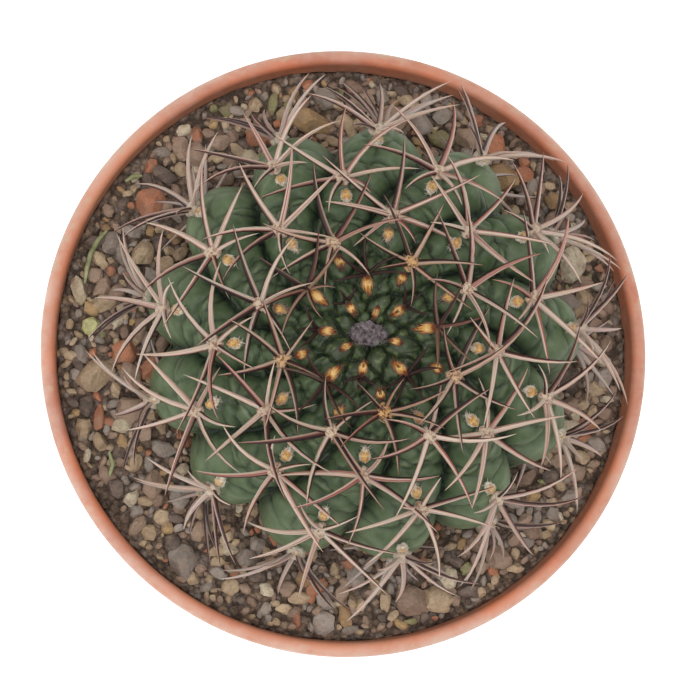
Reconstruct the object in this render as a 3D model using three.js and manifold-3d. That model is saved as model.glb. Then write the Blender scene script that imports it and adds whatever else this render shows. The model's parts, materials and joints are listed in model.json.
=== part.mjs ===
// A round cactus of 13 ribs in a 120 mm nursery pot, seen whole: pot, gravelly soil, the plant with its
// tubercles, areole pads and spines, and the grey tuft of wool on its crown.
// Millimetres, +Z up. The origin is the centre of the pot's base, on the surface that the pot stands on.

import * as THREE from "three";
import { mergeVertices } from "three/addons/utils/BufferGeometryUtils.js";
import Module from "manifold-3d";

const wasm = await Module();
wasm.setup();

// ---------------------------------------------------------------- driving dimensions

const TOUCH_GAP = 0.3;            // left between pieces that rest on each other
const FACETS_ROUND = 48;          // facets of the pot and of the soil
const DEGREE = Math.PI / 180;

// pot
const RIM_RADIUS = 60;            // outside of the rolled rim
const POT_HEIGHT = 92;
const BASE_RADIUS = 42;
const WALL = 1.8;
const FLOOR = 2.2;                // thickness of the base
const BAND_BOTTOM = 75;           // where the plain band under the rim starts
const SHOULDER_RADIUS = 56;       // outside of the wall just under the band
const BAND_STEP = 2.1;            // how far the band stands out from the wall
const BAND_SLOPE = 0.058;         // how far the band widens in each millimetre of height
const STEP_HEIGHT = 0.8;          // of the slanted step between the wall and the band
const LIP_HEIGHT = 3.2;           // height of the rolled rim
const LIP_WIDTH = 2.9;
const DRAIN_HOLES = 6;
const DRAIN_RADIUS = 3.5;
const DRAIN_CIRCLE = 26;

// soil
const SOIL_TOP = 85.3;
const SOIL_SWELL = 0.8;           // the soil is a little higher towards the plant
const ROOT_HOLE_RADIUS = 11.3;
const ROOT_DEPTH = 17;
const STONE_SEED = 2607;
const STONE_SIZES = [             // how many, and the mean half width of each size
  { count: 18, half: 3.1, rounder: true },
  { count: 44, half: 2.3, rounder: true },
  { count: 46, half: 1.7, rounder: false },
];
const STONE_RING_INSIDE = 41.5;   // the stones lie between these two radii
const STONE_RING_OUTSIDE = 55;

// body of the plant
const BODY_RADIUS = 42.25;        // at the rib crests, on the equator
const EQUATOR_HEIGHT = 98;
const CROWN_RISE = 24;            // from the equator up to the crown
const UNDER_DROP = 9;             // from the equator down to the flat underside
const BODY_SQUARENESS = 2.7;      // exponent of the outline; 2 is an ellipse
const CROWN_DIP = 1.1;
const CROWN_DIP_RADIUS = 4.5;
const NECK_RADIUS = 22;           // where the ribs end, under the body
const ROOT_FACETS = 18;
const PLANT_ASIDE = [1.85, 0.56]; // from the pot's axis to the middle of the plant's equator
const PLANT_LEAN = 5.8;           // degrees that the plant leans over
const LEAN_BEARING = 206;         // the side that it leans to, in degrees from +X

// growth: each new areole stands one golden turn on from the last one
const GOLDEN_TURN = 137.5;
const FIRST_BEARING = 71.1;       // bearing of areole 0, in degrees from +X
const RIBS = 13;
const RIB_TO_RIB = 8;             // areoles grown between one rib and the next one round
const LATE_TWIST = 0.8;           // degrees more for each areole after LATE_TWIST_FROM
const LATE_TWIST_FROM = 41.1;
const FIRST_AREOLE_ARC = 3.92;    // arc length from the crown to areole 0
const GROWTH_SCALE = 0.355;       // arc length of areole n is the first arc + scale * n ** power
const GROWTH_POWER = 1.23;
const AREOLES = 74;
const COLUMNS_A_RIB = 4;
const ROWS_AN_AREOLE = 4;

// relief of the ribs and tubercles
const CREST_LAG = 0.25;           // a tubercle's crest lies this share of a step outside its wool
const GROOVE_YOUNG = 1.1;
const GROOVE_OLD = 6.2;
const GROOVE_SHAPE = 2.3;
const CREASE_DEPTH = 0.95;
const CREASE_SHAPE = 3;

// areoles: a pad of felt with the wool at its crownward end and the spines at its outer end
const WOOL_TO_SPINES = 3.7;
const WOOL_REACH = 1.9;           // the pad's pointed end reaches this far past the wool
const WOOL_RISE = 1.1;
const PAD_RADIUS = 1.2;           // round the roots of the spines
const PAD_RISE = 0.85;
const PAD_EDGE = 0.15;            // the pad's edge stands this far off the skin
const PAD_SUNK = 1.5;
const PAD_SEED = 411;

// spines
const SPINE_SEED = 412;
const SPINE_RADIUS = 0.46;        // at half its length
const SPINE_BOW = 0.17;           // how far the tip bends back to the skin, as a share of the length
const SPINE_SWAY = 0.09;          // the most that the tip bends aside
const SPINE_ARCH = 0.12;          // how much more it is curved between its root and its tip
const SPINE_APART = 1.0;          // least distance between spines of two areoles
const SPINES = [                  // bearing about the areole from the outward side, and length
  { bearing: 0, length: 14.5 },
  { bearing: 61, length: 16.5 },
  { bearing: -61, length: 16.5 },
  { bearing: 98, length: 15.5 },
  { bearing: -98, length: 15.5 },
  { bearing: 143, length: 10 },
  { bearing: -143, length: 10 },
];
const ELEVATION_TOP = 24;         // of a spine above the skin, in degrees
const ELEVATION_SIDE = 44;
const SPINE_FIRST = 3;            // the areoles before this one have no spine yet
const SPINE_GROWN = 18;           // from this one on the spines are full length
const SPINE_OLD = 65;             // from this one on, under the body, few are left
const OLD_SPINES = 3;

// tuft of wool on the crown
const TUFT_HALF_LENGTH = 3.5;
const TUFT_HALF_WIDTH = 2.1;
const TUFT_HALF_HEIGHT = 1.5;
const TUFT_TURN = -8;

// ---------------------------------------------------------------- helpers

function seededDraws(seed) {
  let state = seed;
  return () => {
    state = (Math.imul(state, 1664525) + 1013904223) >>> 0;
    return state / 4294967296;
  };
}

function smoothStep(from, to, value) {
  const share = Math.min(1, Math.max(0, (value - from) / (to - from)));
  return share * share * (3 - 2 * share);
}

// a closed geometry as a solid that can be joined and cut
function solidOf(geometry) {
  const bare = geometry.index ? geometry.clone() : geometry;
  bare.deleteAttribute("normal");
  bare.deleteAttribute("uv");
  const merged = mergeVertices(bare, 1e-4);
  return new wasm.Manifold(new wasm.Mesh({
    numProp: 3,
    vertProperties: new Float32Array(merged.attributes.position.array),
    triVerts: new Uint32Array(merged.index.array),
  }));
}

function geometryOf(solid) {
  const mesh = solid.getMesh();
  const geometry = new THREE.BufferGeometry();
  geometry.setAttribute("position", new THREE.BufferAttribute(mesh.vertProperties, 3));
  geometry.setIndex(new THREE.BufferAttribute(mesh.triVerts, 1));
  geometry.computeVertexNormals();
  return geometry;
}

// the outline is turned round the Z axis; its points run up the outside
function turned(outline, facets = FACETS_ROUND) {
  const points = outline.map(([radius, height]) => new THREE.Vector2(radius, height));
  const lathe = new THREE.LatheGeometry(points, facets);
  lathe.rotateX(Math.PI / 2);
  return lathe;
}

// ---------------------------------------------------------------- pot

// the wall's outside: a cone up to the band, and the nearly upright band above it
function wallOutside(height) {
  return height < BAND_BOTTOM
    ? BASE_RADIUS + (SHOULDER_RADIUS - BASE_RADIUS) * height / BAND_BOTTOM
    : SHOULDER_RADIUS + BAND_STEP + BAND_SLOPE * (height - BAND_BOTTOM);
}

function wallInside(height) {
  return wallOutside(height) - WALL;
}

// the step between the wall and the band, inside the pot: its lower corner, then its upper one
function innerStep(gap) {
  const bottom = BAND_BOTTOM + WALL - 0.2 + gap;
  return [
    [SHOULDER_RADIUS - WALL - 0.1 - gap, bottom],
    [wallInside(bottom) - gap, bottom + STEP_HEIGHT],
  ];
}

function potSolid() {
  const lipBottom = POT_HEIGHT - LIP_HEIGHT;
  const lipInside = RIM_RADIUS - LIP_WIDTH;
  const body = solidOf(turned([
    [0, 0],
    [BASE_RADIUS - 1, 0],
    [wallOutside(1.2), 1.2],
    [SHOULDER_RADIUS, BAND_BOTTOM],
    [wallOutside(BAND_BOTTOM), BAND_BOTTOM + STEP_HEIGHT],
    [wallOutside(lipBottom), lipBottom],
    [RIM_RADIUS, lipBottom + 0.7],
    [RIM_RADIUS, POT_HEIGHT - 1.1],
    [RIM_RADIUS - 0.7, POT_HEIGHT - 0.2],
    [RIM_RADIUS - LIP_WIDTH / 2, POT_HEIGHT],
    [lipInside + 0.5, POT_HEIGHT - 0.3],
    [lipInside, POT_HEIGHT - 1.2],
    ...innerStep(0).reverse(),
    [wallInside(FLOOR + 1.5), FLOOR + 1.5],
    [wallInside(FLOOR) - 1.5, FLOOR],
    [0, FLOOR],
  ]));
  const drain = new THREE.CylinderGeometry(DRAIN_RADIUS, DRAIN_RADIUS, 4 * FLOOR, 12);
  drain.rotateX(Math.PI / 2);
  drain.translate(DRAIN_CIRCLE, 0, 0);
  let pot = body;
  for (let hole = 0; hole < DRAIN_HOLES; hole += 1) {
    const placed = drain.clone().rotateZ((hole + 0.5) * (2 * Math.PI / DRAIN_HOLES));
    pot = pot.subtract(solidOf(placed));
  }
  return pot;
}

// ---------------------------------------------------------------- soil

function soilHeight(radius) {
  return SOIL_TOP + SOIL_SWELL * (1 - smoothStep(ROOT_HOLE_RADIUS, STONE_RING_OUTSIDE, radius));
}

function soilPlug() {
  return solidOf(turned([
    [0, FLOOR + TOUCH_GAP],
    [wallInside(FLOOR) - 1.8, FLOOR + TOUCH_GAP],
    [wallInside(FLOOR + 2) - TOUCH_GAP, FLOOR + 2],
    ...innerStep(TOUCH_GAP),
    [wallInside(SOIL_TOP) - TOUCH_GAP - 1, SOIL_TOP],
    [STONE_RING_INSIDE, soilHeight(STONE_RING_INSIDE)],
    [ROOT_HOLE_RADIUS, soilHeight(ROOT_HOLE_RADIUS)],
    [ROOT_HOLE_RADIUS, SOIL_TOP - ROOT_DEPTH - TOUCH_GAP],
    [0, SOIL_TOP - ROOT_DEPTH - TOUCH_GAP],
  ]));
}

// places and sizes of the stones: the largest first, none on top of another
function stonePlaces() {
  const draw = seededDraws(STONE_SEED);
  const stones = [];
  for (const { count, half, rounder } of STONE_SIZES) {
    let placed = 0;
    for (let attempt = 0; attempt < 60 * count && placed < count; attempt += 1) {
      const size = half * (0.82 + 0.36 * draw());
      const inner = STONE_RING_INSIDE ** 2;
      const outer = (STONE_RING_OUTSIDE - size) ** 2;
      const radius = Math.sqrt(inner + (outer - inner) * Math.sqrt(draw()));
      const bearing = 2 * Math.PI * draw();
      const [x, y] = [radius * Math.cos(bearing), radius * Math.sin(bearing)];
      const turn = [draw() * Math.PI, draw() * 0.6, draw() * Math.PI];
      const flat = 0.62 + 0.2 * draw();
      const long = 1 + 0.3 * draw();
      const clear = stones.every((other) => (
        Math.hypot(x - other.x, y - other.y) > 0.95 * (size + other.size)));
      if (clear) {
        stones.push({ x, y, size, turn, flat, long, rounder });
        placed += 1;
      }
    }
  }
  return stones;
}

function stoneSolid({ x, y, size, turn, flat, long, rounder }) {
  const stone = rounder ? new THREE.IcosahedronGeometry(1, 0) : new THREE.OctahedronGeometry(1.2, 0);
  stone.rotateZ(turn[0]);
  stone.scale(size * long, size / long, size * flat);
  stone.rotateX(turn[1]);
  stone.rotateZ(turn[2]);
  stone.translate(x, y, soilHeight(Math.hypot(x, y)) + size * 0.12);
  return solidOf(stone);
}

function soilSolid() {
  return wasm.Manifold.union([soilPlug(), ...stonePlaces().map(stoneSolid)]);
}

// ---------------------------------------------------------------- outline of the plant's body

// points of the outline by arc length, from the crown over the equator to the underside
function bodyOutline() {
  const steps = 900;
  const points = [];
  let arc = 0;
  for (let step = 0; step <= steps; step += 1) {
    const angle = (step / steps) * Math.PI;
    const [side, rise] = [Math.abs(Math.sin(angle)), Math.abs(Math.cos(angle))];
    const power = 2 / BODY_SQUARENESS;
    const above = angle < Math.PI / 2;
    const radius = BODY_RADIUS * side ** power;
    const height = EQUATOR_HEIGHT + rise ** power * (above ? CROWN_RISE : -UNDER_DROP);
    const last = points.at(-1);
    arc += last ? Math.hypot(radius - last.radius, height - last.height) : 0;
    points.push({ arc, radius, height });
  }
  return points;
}

const OUTLINE = bodyOutline();

// radius, height and outward direction of the outline at an arc length
function outlineAt(arc) {
  const after = Math.max(1, OUTLINE.findIndex((point) => point.arc >= arc));
  const [low, high] = [OUTLINE[after - 1], OUTLINE[after]];
  const share = (arc - low.arc) / (high.arc - low.arc);
  const length = high.arc - low.arc;
  return {
    radius: low.radius + share * (high.radius - low.radius),
    height: low.height + share * (high.height - low.height),
    alongRadius: (high.radius - low.radius) / length,
    alongHeight: (high.height - low.height) / length,
  };
}

function turnOf(count) {
  const turn = count * GOLDEN_TURN;
  return turn - 360 * Math.round(turn / 360);
}

function arcOf(areole) {
  return FIRST_AREOLE_ARC + GROWTH_SCALE * Math.max(0, areole) ** GROWTH_POWER;
}

function lateTwist(areole) {
  return LATE_TWIST * Math.max(0, areole - LATE_TWIST_FROM);
}

// turns the plant over its lean about the middle of its equator, and sets it aside from the pot's axis
const lean = new THREE.Matrix4()
  .makeTranslation(PLANT_ASIDE[0], PLANT_ASIDE[1], EQUATOR_HEIGHT)
  .multiply(new THREE.Matrix4().makeRotationAxis(
    new THREE.Vector3(-Math.sin(LEAN_BEARING * DEGREE), Math.cos(LEAN_BEARING * DEGREE), 0), PLANT_LEAN * DEGREE))
  .multiply(new THREE.Matrix4().makeTranslation(0, 0, -EQUATOR_HEIGHT));

// a place on the smooth body, with its outward normal and its directions along and across the rib
function placeOn(arc, bearing) {
  const { radius, height, alongRadius, alongHeight } = outlineAt(arc);
  const [cos, sin] = [Math.cos(bearing), Math.sin(bearing)];
  const dip = CROWN_DIP * Math.exp(-((radius / CROWN_DIP_RADIUS) ** 2));
  return {
    point: new THREE.Vector3(radius * cos, radius * sin, height - dip).applyMatrix4(lean),
    normal: new THREE.Vector3(-alongHeight * cos, -alongHeight * sin, alongRadius).transformDirection(lean),
    along: new THREE.Vector3(alongRadius * cos, alongRadius * sin, alongHeight).transformDirection(lean),
    across: new THREE.Vector3(-sin, cos, 0).transformDirection(lean),
  };
}

// ---------------------------------------------------------------- ribs and tubercles

const lastArc = OUTLINE.find((point) => point.height < EQUATOR_HEIGHT && point.radius < NECK_RADIUS).arc;
const LAST_NUMBER = ((lastArc - FIRST_AREOLE_ARC) / GROWTH_SCALE) ** (1 / GROWTH_POWER);

function grooveDepth(number) {
  const grown = GROOVE_YOUNG + (GROOVE_OLD - GROOVE_YOUNG) * smoothStep(4, 50, number);
  return grown * (1 - 0.75 * smoothStep(62, LAST_NUMBER, number));
}

function creaseDepth(number) {
  return CREASE_DEPTH * (1 - smoothStep(60, 80, number));
}

// a point of the skin: rib counts the ribs round, step counts the tubercles out along one rib
function skinPoint(rib, step) {
  const number = RIB_TO_RIB * rib + RIBS * step;
  const bearing = FIRST_BEARING + rib * turnOf(RIB_TO_RIB) + step * turnOf(RIBS) + lateTwist(number);
  const { point, normal } = placeOn(arcOf(number), bearing * DEGREE);
  const aside = Math.abs(rib - Math.round(rib)) * 2;
  const fromCrest = step - CREST_LAG;
  const ahead = Math.abs(fromCrest - Math.round(fromCrest)) * 2;
  const depth = grooveDepth(number) * aside ** GROOVE_SHAPE + creaseDepth(number) * ahead ** CREASE_SHAPE;
  return point.addScaledVector(normal, -depth);
}

// the steps of one column, from the innermost ring to the neck
function columnSteps(rib) {
  const first = -RIB_TO_RIB * rib / RIBS;
  const last = (LAST_NUMBER - RIB_TO_RIB * rib) / RIBS;
  const steps = [first];
  const closest = 0.35 / ROWS_AN_AREOLE;
  for (let row = Math.ceil(first * ROWS_AN_AREOLE); row <= last * ROWS_AN_AREOLE; row += 1) {
    const step = row / ROWS_AN_AREOLE;
    if (step - first > closest && last - step > closest) {
      steps.push(step);
    }
  }
  steps.push(last);
  return steps;
}

function ribbedBody() {
  const points = [];
  const faces = [];
  const columns = [];
  for (let column = 0; column < RIBS * COLUMNS_A_RIB; column += 1) {
    const rib = column / COLUMNS_A_RIB;
    columns.push(columnSteps(rib).map((step) => ({ step, index: points.push(skinPoint(rib, step)) - 1 })));
  }
  const { point: crown } = placeOn(0, 0);
  const crownIndex = points.push(crown) - 1;
  const neck = new THREE.Vector3(0, 0, EQUATOR_HEIGHT - UNDER_DROP + 2).applyMatrix4(lean);
  const neckIndex = points.push(neck) - 1;
  columns.forEach((left, column) => {
    const wraps = column === columns.length - 1;
    const right = columns[(column + 1) % columns.length];
    const shift = wraps ? -RIB_TO_RIB : 0;
    faces.push(crownIndex, left[0].index, right[0].index);
    faces.push(neckIndex, right.at(-1).index, left.at(-1).index);
    let [a, b] = [0, 0];
    while (a < left.length - 1 || b < right.length - 1) {
      const nextLeft = a < left.length - 1 ? left[a + 1].step : Infinity;
      const nextRight = b < right.length - 1 ? right[b + 1].step + shift : Infinity;
      if (nextLeft <= nextRight) {
        faces.push(left[a].index, left[a + 1].index, right[b].index);
        a += 1;
      } else {
        faces.push(left[a].index, right[b + 1].index, right[b].index);
        b += 1;
      }
    }
  });
  const geometry = new THREE.BufferGeometry();
  geometry.setAttribute("position", new THREE.Float32BufferAttribute(points.flatMap((p) => p.toArray()), 3));
  geometry.setIndex(faces);
  return solidOf(geometry);
}

// the underside draws in to a root that stands in the soil's hole
function rootSolid() {
  const radius = ROOT_HOLE_RADIUS - TOUCH_GAP;
  const underside = EQUATOR_HEIGHT - UNDER_DROP;
  return solidOf(turned([
    [0, SOIL_TOP - ROOT_DEPTH],
    [radius - 3, SOIL_TOP - ROOT_DEPTH],
    [radius - 0.4, SOIL_TOP - ROOT_DEPTH + 4],
    [radius, SOIL_TOP - 2],
    [radius, SOIL_TOP + 1.2],
    [radius + 2, underside - 1],
    [radius + 5, underside + 3],
    [0, underside + 6],
  ], ROOT_FACETS));
}

// ---------------------------------------------------------------- areoles

// where each areole's wool and spines stand, a little off the regular place
function areoleFrames() {
  const draw = seededDraws(PAD_SEED);
  const frames = [];
  for (let number = 0; number < AREOLES; number += 1) {
    const grown = smoothStep(0, SPINE_GROWN, number);
    const stretch = 0.45 + 0.55 * grown;
    const arc = arcOf(number) + (draw() - 0.5) * 0.9 * grown;
    const aside = (draw() - 0.5) * 2.2 * grown;
    const bearing = (FIRST_BEARING + number * GOLDEN_TURN + lateTwist(number) + aside) * DEGREE;
    frames.push({
      number,
      stretch,
      point: placeOn(arc - WOOL_REACH * stretch, bearing),
      wool: placeOn(arc, bearing),
      root: placeOn(arc + WOOL_TO_SPINES * stretch, bearing),
    });
  }
  return frames;
}

// ---------------------------------------------------------------- spines

// three points on the middle line of a spine, from its root to its tip
function middleLine({ root, heading, length, sway, at }) {
  const across = new THREE.Vector3().crossVectors(at.normal, heading).normalize();
  return [0, 0.5, 1].map((share) => {
    const between = share * (1 - share);
    return root.clone()
      .addScaledVector(heading, length * share)
      .addScaledVector(at.normal, length * (SPINE_ARCH * between - SPINE_BOW * share * share))
      .addScaledVector(across, sway * length * (share * share - 2 * between));
  });
}

// least distance between two straight stretches
function stretchGap(a0, a1, b0, b1) {
  const a = a1.clone().sub(a0);
  const b = b1.clone().sub(b0);
  const between = a0.clone().sub(b0);
  const [aa, ab, bb] = [a.dot(a), a.dot(b), b.dot(b)];
  const [da, db] = [a.dot(between), b.dot(between)];
  const spread = aa * bb - ab * ab;
  const clamp = (value) => Math.min(1, Math.max(0, value));
  let onA = spread > 1e-9 ? clamp((ab * db - bb * da) / spread) : 0;
  const onB = clamp((ab * onA + db) / bb);
  onA = clamp((ab * onB - da) / aa);
  return between.addScaledVector(a, onA).addScaledVector(b, -onB).length();
}

// true where a spine would run into the pot or the soil
function strikesHolder(line) {
  return line.slice(1).some((point) => {
    const radius = Math.hypot(point.x, point.y);
    const belowRim = point.z < POT_HEIGHT + 1.2;
    return point.z < SOIL_TOP + 4 || (belowRim && radius > wallInside(point.z) - 1.4);
  });
}

function crossesOthers(line, others, number) {
  return others.some((other) => other.number !== number && [0, 1].some((k) => [0, 1].some((m) => (
    stretchGap(line[k], line[k + 1], other.line[m], other.line[m + 1]) < SPINE_APART))));
}

function spineCount(number) {
  if (number < SPINE_FIRST) {
    return 0;
  }
  if (number < SPINE_FIRST + 8) {
    return number < SPINE_FIRST + 4 ? 3 : 5;
  }
  return number < SPINE_OLD ? SPINES.length : OLD_SPINES;
}

// one spine of an areole, with random draws for its lie and its length
function drawnSpine(number, at, { bearing, length }, looser, draw) {
  const grown = smoothStep(SPINE_FIRST - 3, SPINE_GROWN, number);
  const flatter = smoothStep(28, 56, number);
  const elevation = ELEVATION_TOP + (ELEVATION_SIDE - ELEVATION_TOP) * flatter + 18 * (1 - grown);
  const around = (bearing + (draw() - 0.5) * 16) * DEGREE;
  const up = (elevation + (draw() - 0.5) * (14 + 3 * looser)) * DEGREE;
  const full = length * (0.12 + 0.88 * grown) * (0.88 + 0.24 * draw());
  const sway = SPINE_SWAY * (2 * draw() - 1);
  const outward = at.along.clone().multiplyScalar(Math.cos(around))
    .addScaledVector(at.across, Math.sin(around));
  const root = at.point.clone().addScaledVector(outward, PAD_RADIUS / 2)
    .addScaledVector(at.normal, PAD_RISE / 2);
  const heading = outward.multiplyScalar(Math.cos(up)).addScaledVector(at.normal, Math.sin(up));
  const spine = { number, bearing, root, heading, length: full, sway, at };
  spine.line = middleLine(spine);
  for (let lift = 0; lift < 9 && strikesHolder(spine.line); lift += 1) {
    spine.heading.z += 0.11;
    spine.heading.normalize();
    spine.length *= 0.95;
    spine.line = middleLine(spine);
  }
  return spine;
}

// all spines, each drawn again until it is clear of the pot, the soil and the other areoles' spines
function allSpines(frames) {
  const draw = seededDraws(SPINE_SEED);
  const spines = [];
  for (const { number, root } of frames) {
    for (const kind of SPINES.slice(0, spineCount(number))) {
      let spine;
      let clear = false;
      for (let attempt = 0; attempt < 14 && !clear; attempt += 1) {
        spine = drawnSpine(number, root, kind, attempt, draw);
        clear = !strikesHolder(spine.line) && !crossesOthers(spine.line, spines, number);
      }
      if (!strikesHolder(spine.line)) {
        spines.push(spine);
      }
    }
  }
  return spines;
}

// the corners of a spine at half its length: left and right below, and one above
function middleCorners({ number, heading, line, at }) {
  const across = new THREE.Vector3().crossVectors(at.normal, heading).normalize();
  const upper = new THREE.Vector3().crossVectors(heading, across);
  const radius = SPINE_RADIUS * (0.6 + 0.4 * smoothStep(0, SPINE_GROWN, number));
  return [[-0.87, -0.5], [0.87, -0.5], [0, 1]].map(([sideways, upward]) => line[1].clone()
    .addScaledVector(across, sideways * radius)
    .addScaledVector(upper, upward * radius));
}

// an areole with its spines as one closed body: a pad whose upper facets each run out into a spine
function armedAreole({ number, stretch, point, wool, root }, spines) {
  const points = [];
  const faces = [];
  const put = (vector) => points.push(vector) - 1;
  const offSkin = (place, rise) => place.point.clone().addScaledVector(place.normal, rise);
  const sorted = [...spines].sort((a, b) => a.bearing - b.bearing);
  const bearings = sorted.length > 1 ? sorted.map((spine) => spine.bearing) : [-80, 0, 80];
  const last = Math.min(168, bearings.at(-1) + 24);
  const between = bearings.slice(1).map((bearing, index) => (bearing + bearings[index]) / 2);
  const radius = PAD_RADIUS * (0.55 + 0.45 * stretch);
  const edge = [-last, ...between, last].map((bearing) => put(offSkin(root, PAD_EDGE)
    .addScaledVector(root.along, radius * Math.cos(bearing * DEGREE))
    .addScaledVector(root.across, radius * Math.sin(bearing * DEGREE))));
  const top = put(offSkin(root, PAD_RISE));
  const deep = put(offSkin(root, -PAD_SUNK));
  const woolTop = put(offSkin(wool, WOOL_RISE));
  const woolEnd = put(offSkin(point, PAD_EDGE));
  const [firstEdge, lastEdge] = [edge[0], edge.at(-1)];
  faces.push(lastEdge, woolTop, top, woolTop, firstEdge, top);
  faces.push(lastEdge, woolEnd, woolTop, woolEnd, firstEdge, woolTop);
  faces.push(woolEnd, lastEdge, deep, firstEdge, woolEnd, deep);
  bearings.forEach((bearing, index) => {
    const base = [edge[index], edge[index + 1], top];
    const spine = sorted[index];
    faces.push(base[1], base[0], deep);
    if (spine) {
      const middle = middleCorners(spine).map(put);
      const tip = put(spine.line[2]);
      [0, 1, 2].forEach((corner) => {
        const next = (corner + 1) % 3;
        faces.push(base[corner], base[next], middle[next], base[corner], middle[next], middle[corner]);
        faces.push(middle[corner], middle[next], tip);
      });
    } else {
      faces.push(...base);
    }
  });
  const geometry = new THREE.BufferGeometry();
  geometry.setAttribute("position", new THREE.Float32BufferAttribute(points.flatMap((p) => p.toArray()), 3));
  geometry.setIndex(faces);
  return { number, solid: solidOf(geometry) };
}

// ---------------------------------------------------------------- tuft of wool on the crown

function tuftGeometry(grow) {
  const tuft = new THREE.IcosahedronGeometry(1, 1);
  const place = tuft.attributes.position;
  for (let index = 0; index < place.count; index += 1) {
    const [x, y, z] = [place.getX(index), place.getY(index), place.getZ(index)];
    const lump = 1 + 0.09 * Math.sin(7 * x + 3 * z) * Math.cos(6 * y - 2 * z);
    place.setXYZ(index, x * lump, y * lump, z * lump);
  }
  tuft.scale(TUFT_HALF_LENGTH + grow, TUFT_HALF_WIDTH + grow, TUFT_HALF_HEIGHT + grow);
  tuft.rotateZ(TUFT_TURN * DEGREE);
  tuft.translate(0, 0, EQUATOR_HEIGHT + CROWN_RISE - CROWN_DIP + TUFT_HALF_HEIGHT * 0.55);
  tuft.applyMatrix4(lean);
  return tuft;
}

// ---------------------------------------------------------------- the plant and the whole

function plantSolid() {
  const frames = areoleFrames();
  const spines = allSpines(frames);
  const areoles = frames.map((frame) => (
    armedAreole(frame, spines.filter((spine) => spine.number === frame.number)).solid));
  return wasm.Manifold.union([ribbedBody(), rootSolid(), ...areoles])
    .subtract(solidOf(tuftGeometry(TOUCH_GAP)));
}

function piece(name, geometry, color, roughness) {
  const material = new THREE.MeshStandardMaterial({ color, roughness, metalness: 0 });
  const mesh = new THREE.Mesh(geometry, material);
  mesh.name = name;
  return mesh;
}

const group = new THREE.Group();
group.add(piece("pot", geometryOf(potSolid()), 0xc98c6e, 0.55));
group.add(piece("soil", geometryOf(soilSolid()), 0x6b5645, 0.95));
group.add(piece("cactus", geometryOf(plantSolid()), 0x4f6f4b, 0.6));
group.add(piece("crown_wool", geometryOf(solidOf(tuftGeometry(0))), 0x6a5f63, 0.95));

export default group;
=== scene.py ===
"""A round cactus in a nursery pot: the looks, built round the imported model.

Sizes are in millimetres, as on the real plant, and every mesh is written in metres.
The body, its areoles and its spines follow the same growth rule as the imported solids.
"""
import json
import logging
import math
from bisect import bisect_left
from contextlib import contextmanager
from dataclasses import dataclass, field, replace
from enum import Enum
from typing import Callable, Iterable, Iterator, Sequence

import bmesh
import bpy
import numpy as np
from mathutils import Matrix, Vector, noise

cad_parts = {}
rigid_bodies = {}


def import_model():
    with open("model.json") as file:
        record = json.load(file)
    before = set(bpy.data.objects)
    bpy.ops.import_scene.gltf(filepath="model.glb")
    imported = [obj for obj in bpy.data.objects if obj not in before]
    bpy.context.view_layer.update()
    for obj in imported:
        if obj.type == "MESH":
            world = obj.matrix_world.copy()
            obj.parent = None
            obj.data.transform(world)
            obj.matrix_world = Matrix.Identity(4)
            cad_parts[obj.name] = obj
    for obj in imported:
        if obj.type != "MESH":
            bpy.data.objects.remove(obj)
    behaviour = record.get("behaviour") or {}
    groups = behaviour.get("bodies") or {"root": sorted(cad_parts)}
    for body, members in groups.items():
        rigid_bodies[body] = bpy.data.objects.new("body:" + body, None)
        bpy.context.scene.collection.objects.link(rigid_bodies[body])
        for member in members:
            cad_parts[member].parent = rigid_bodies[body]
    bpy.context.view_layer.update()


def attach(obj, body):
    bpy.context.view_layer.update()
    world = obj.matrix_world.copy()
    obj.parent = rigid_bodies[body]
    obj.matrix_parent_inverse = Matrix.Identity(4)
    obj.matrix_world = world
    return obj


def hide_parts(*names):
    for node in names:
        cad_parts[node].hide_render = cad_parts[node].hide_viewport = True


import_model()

LOG = logging.getLogger("cactus")
MM = 0.001
Colour = tuple[float, float, float]
Ring = tuple[float, float]         # radius and height
Ages = tuple[float, float]         # the areole numbers between which something comes or goes
Draw = Callable[[], float]
Numbers = float | np.ndarray
Socket = bpy.types.NodeSocket
Material = bpy.types.Material
Piece = bpy.types.Object


# -------- small tools


def paint(red: int, green: int, blue: int) -> Colour:
    """Turns a colour as the eye sees it, 0 to 255, into the renderer's linear colour."""
    return tuple(((value / 255.0 + 0.055) / 1.055) ** 2.4 for value in (red, green, blue))


def smooth_step(start: float, end: float, value: Numbers) -> Numbers:
    """Rises from 0 at start to 1 at end, for a number or an array."""
    share = np.clip((value - start) / (end - start), 0.0, 1.0)
    return share * share * (3.0 - 2.0 * share)


def seeded_draws(seed: int) -> Draw:
    """Gives the same row of random draws from 0 to 1 as the part's own rule does.

    Args:
        seed: The whole number that the row starts from.

    Returns:
        A function that gives the next draw.
    """
    state = seed

    def draw() -> float:
        """Gives the next draw."""
        nonlocal state
        state = (state * 1664525 + 1013904223) % 4294967296
        return state / 4294967296

    return draw


def on_circle(radius: float, bearing: float) -> tuple[float, float]:
    """A place on a circle, from its radius and its bearing in radians."""
    return radius * math.cos(bearing), radius * math.sin(bearing)


def turned(bearing: Numbers, start: Numbers) -> Numbers:
    """The turn from one bearing to another, both in degrees, in radians between -pi and pi."""
    return np.radians((bearing - start + 180.0) % 360.0 - 180.0)


def select_only(piece: Piece | None = None) -> None:
    """Selects one piece and makes it the active one, or deselects everything.

    Args:
        piece: The piece, or None.
    """
    for other in bpy.data.objects:
        other.select_set(other == piece)
    if piece is not None:
        bpy.context.view_layer.objects.active = piece


def added(operator: Callable, name: str, **sizes: object) -> Piece:
    """Adds a primitive while nothing else is selected, and names it.

    Args:
        operator: The operator that adds it.
        name: The name of the object and its mesh.
        sizes: What the operator is given.

    Returns:
        The primitive.
    """
    select_only()
    operator(**sizes)
    piece = bpy.context.object
    piece.name = name
    piece.data.name = name
    return piece


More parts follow.
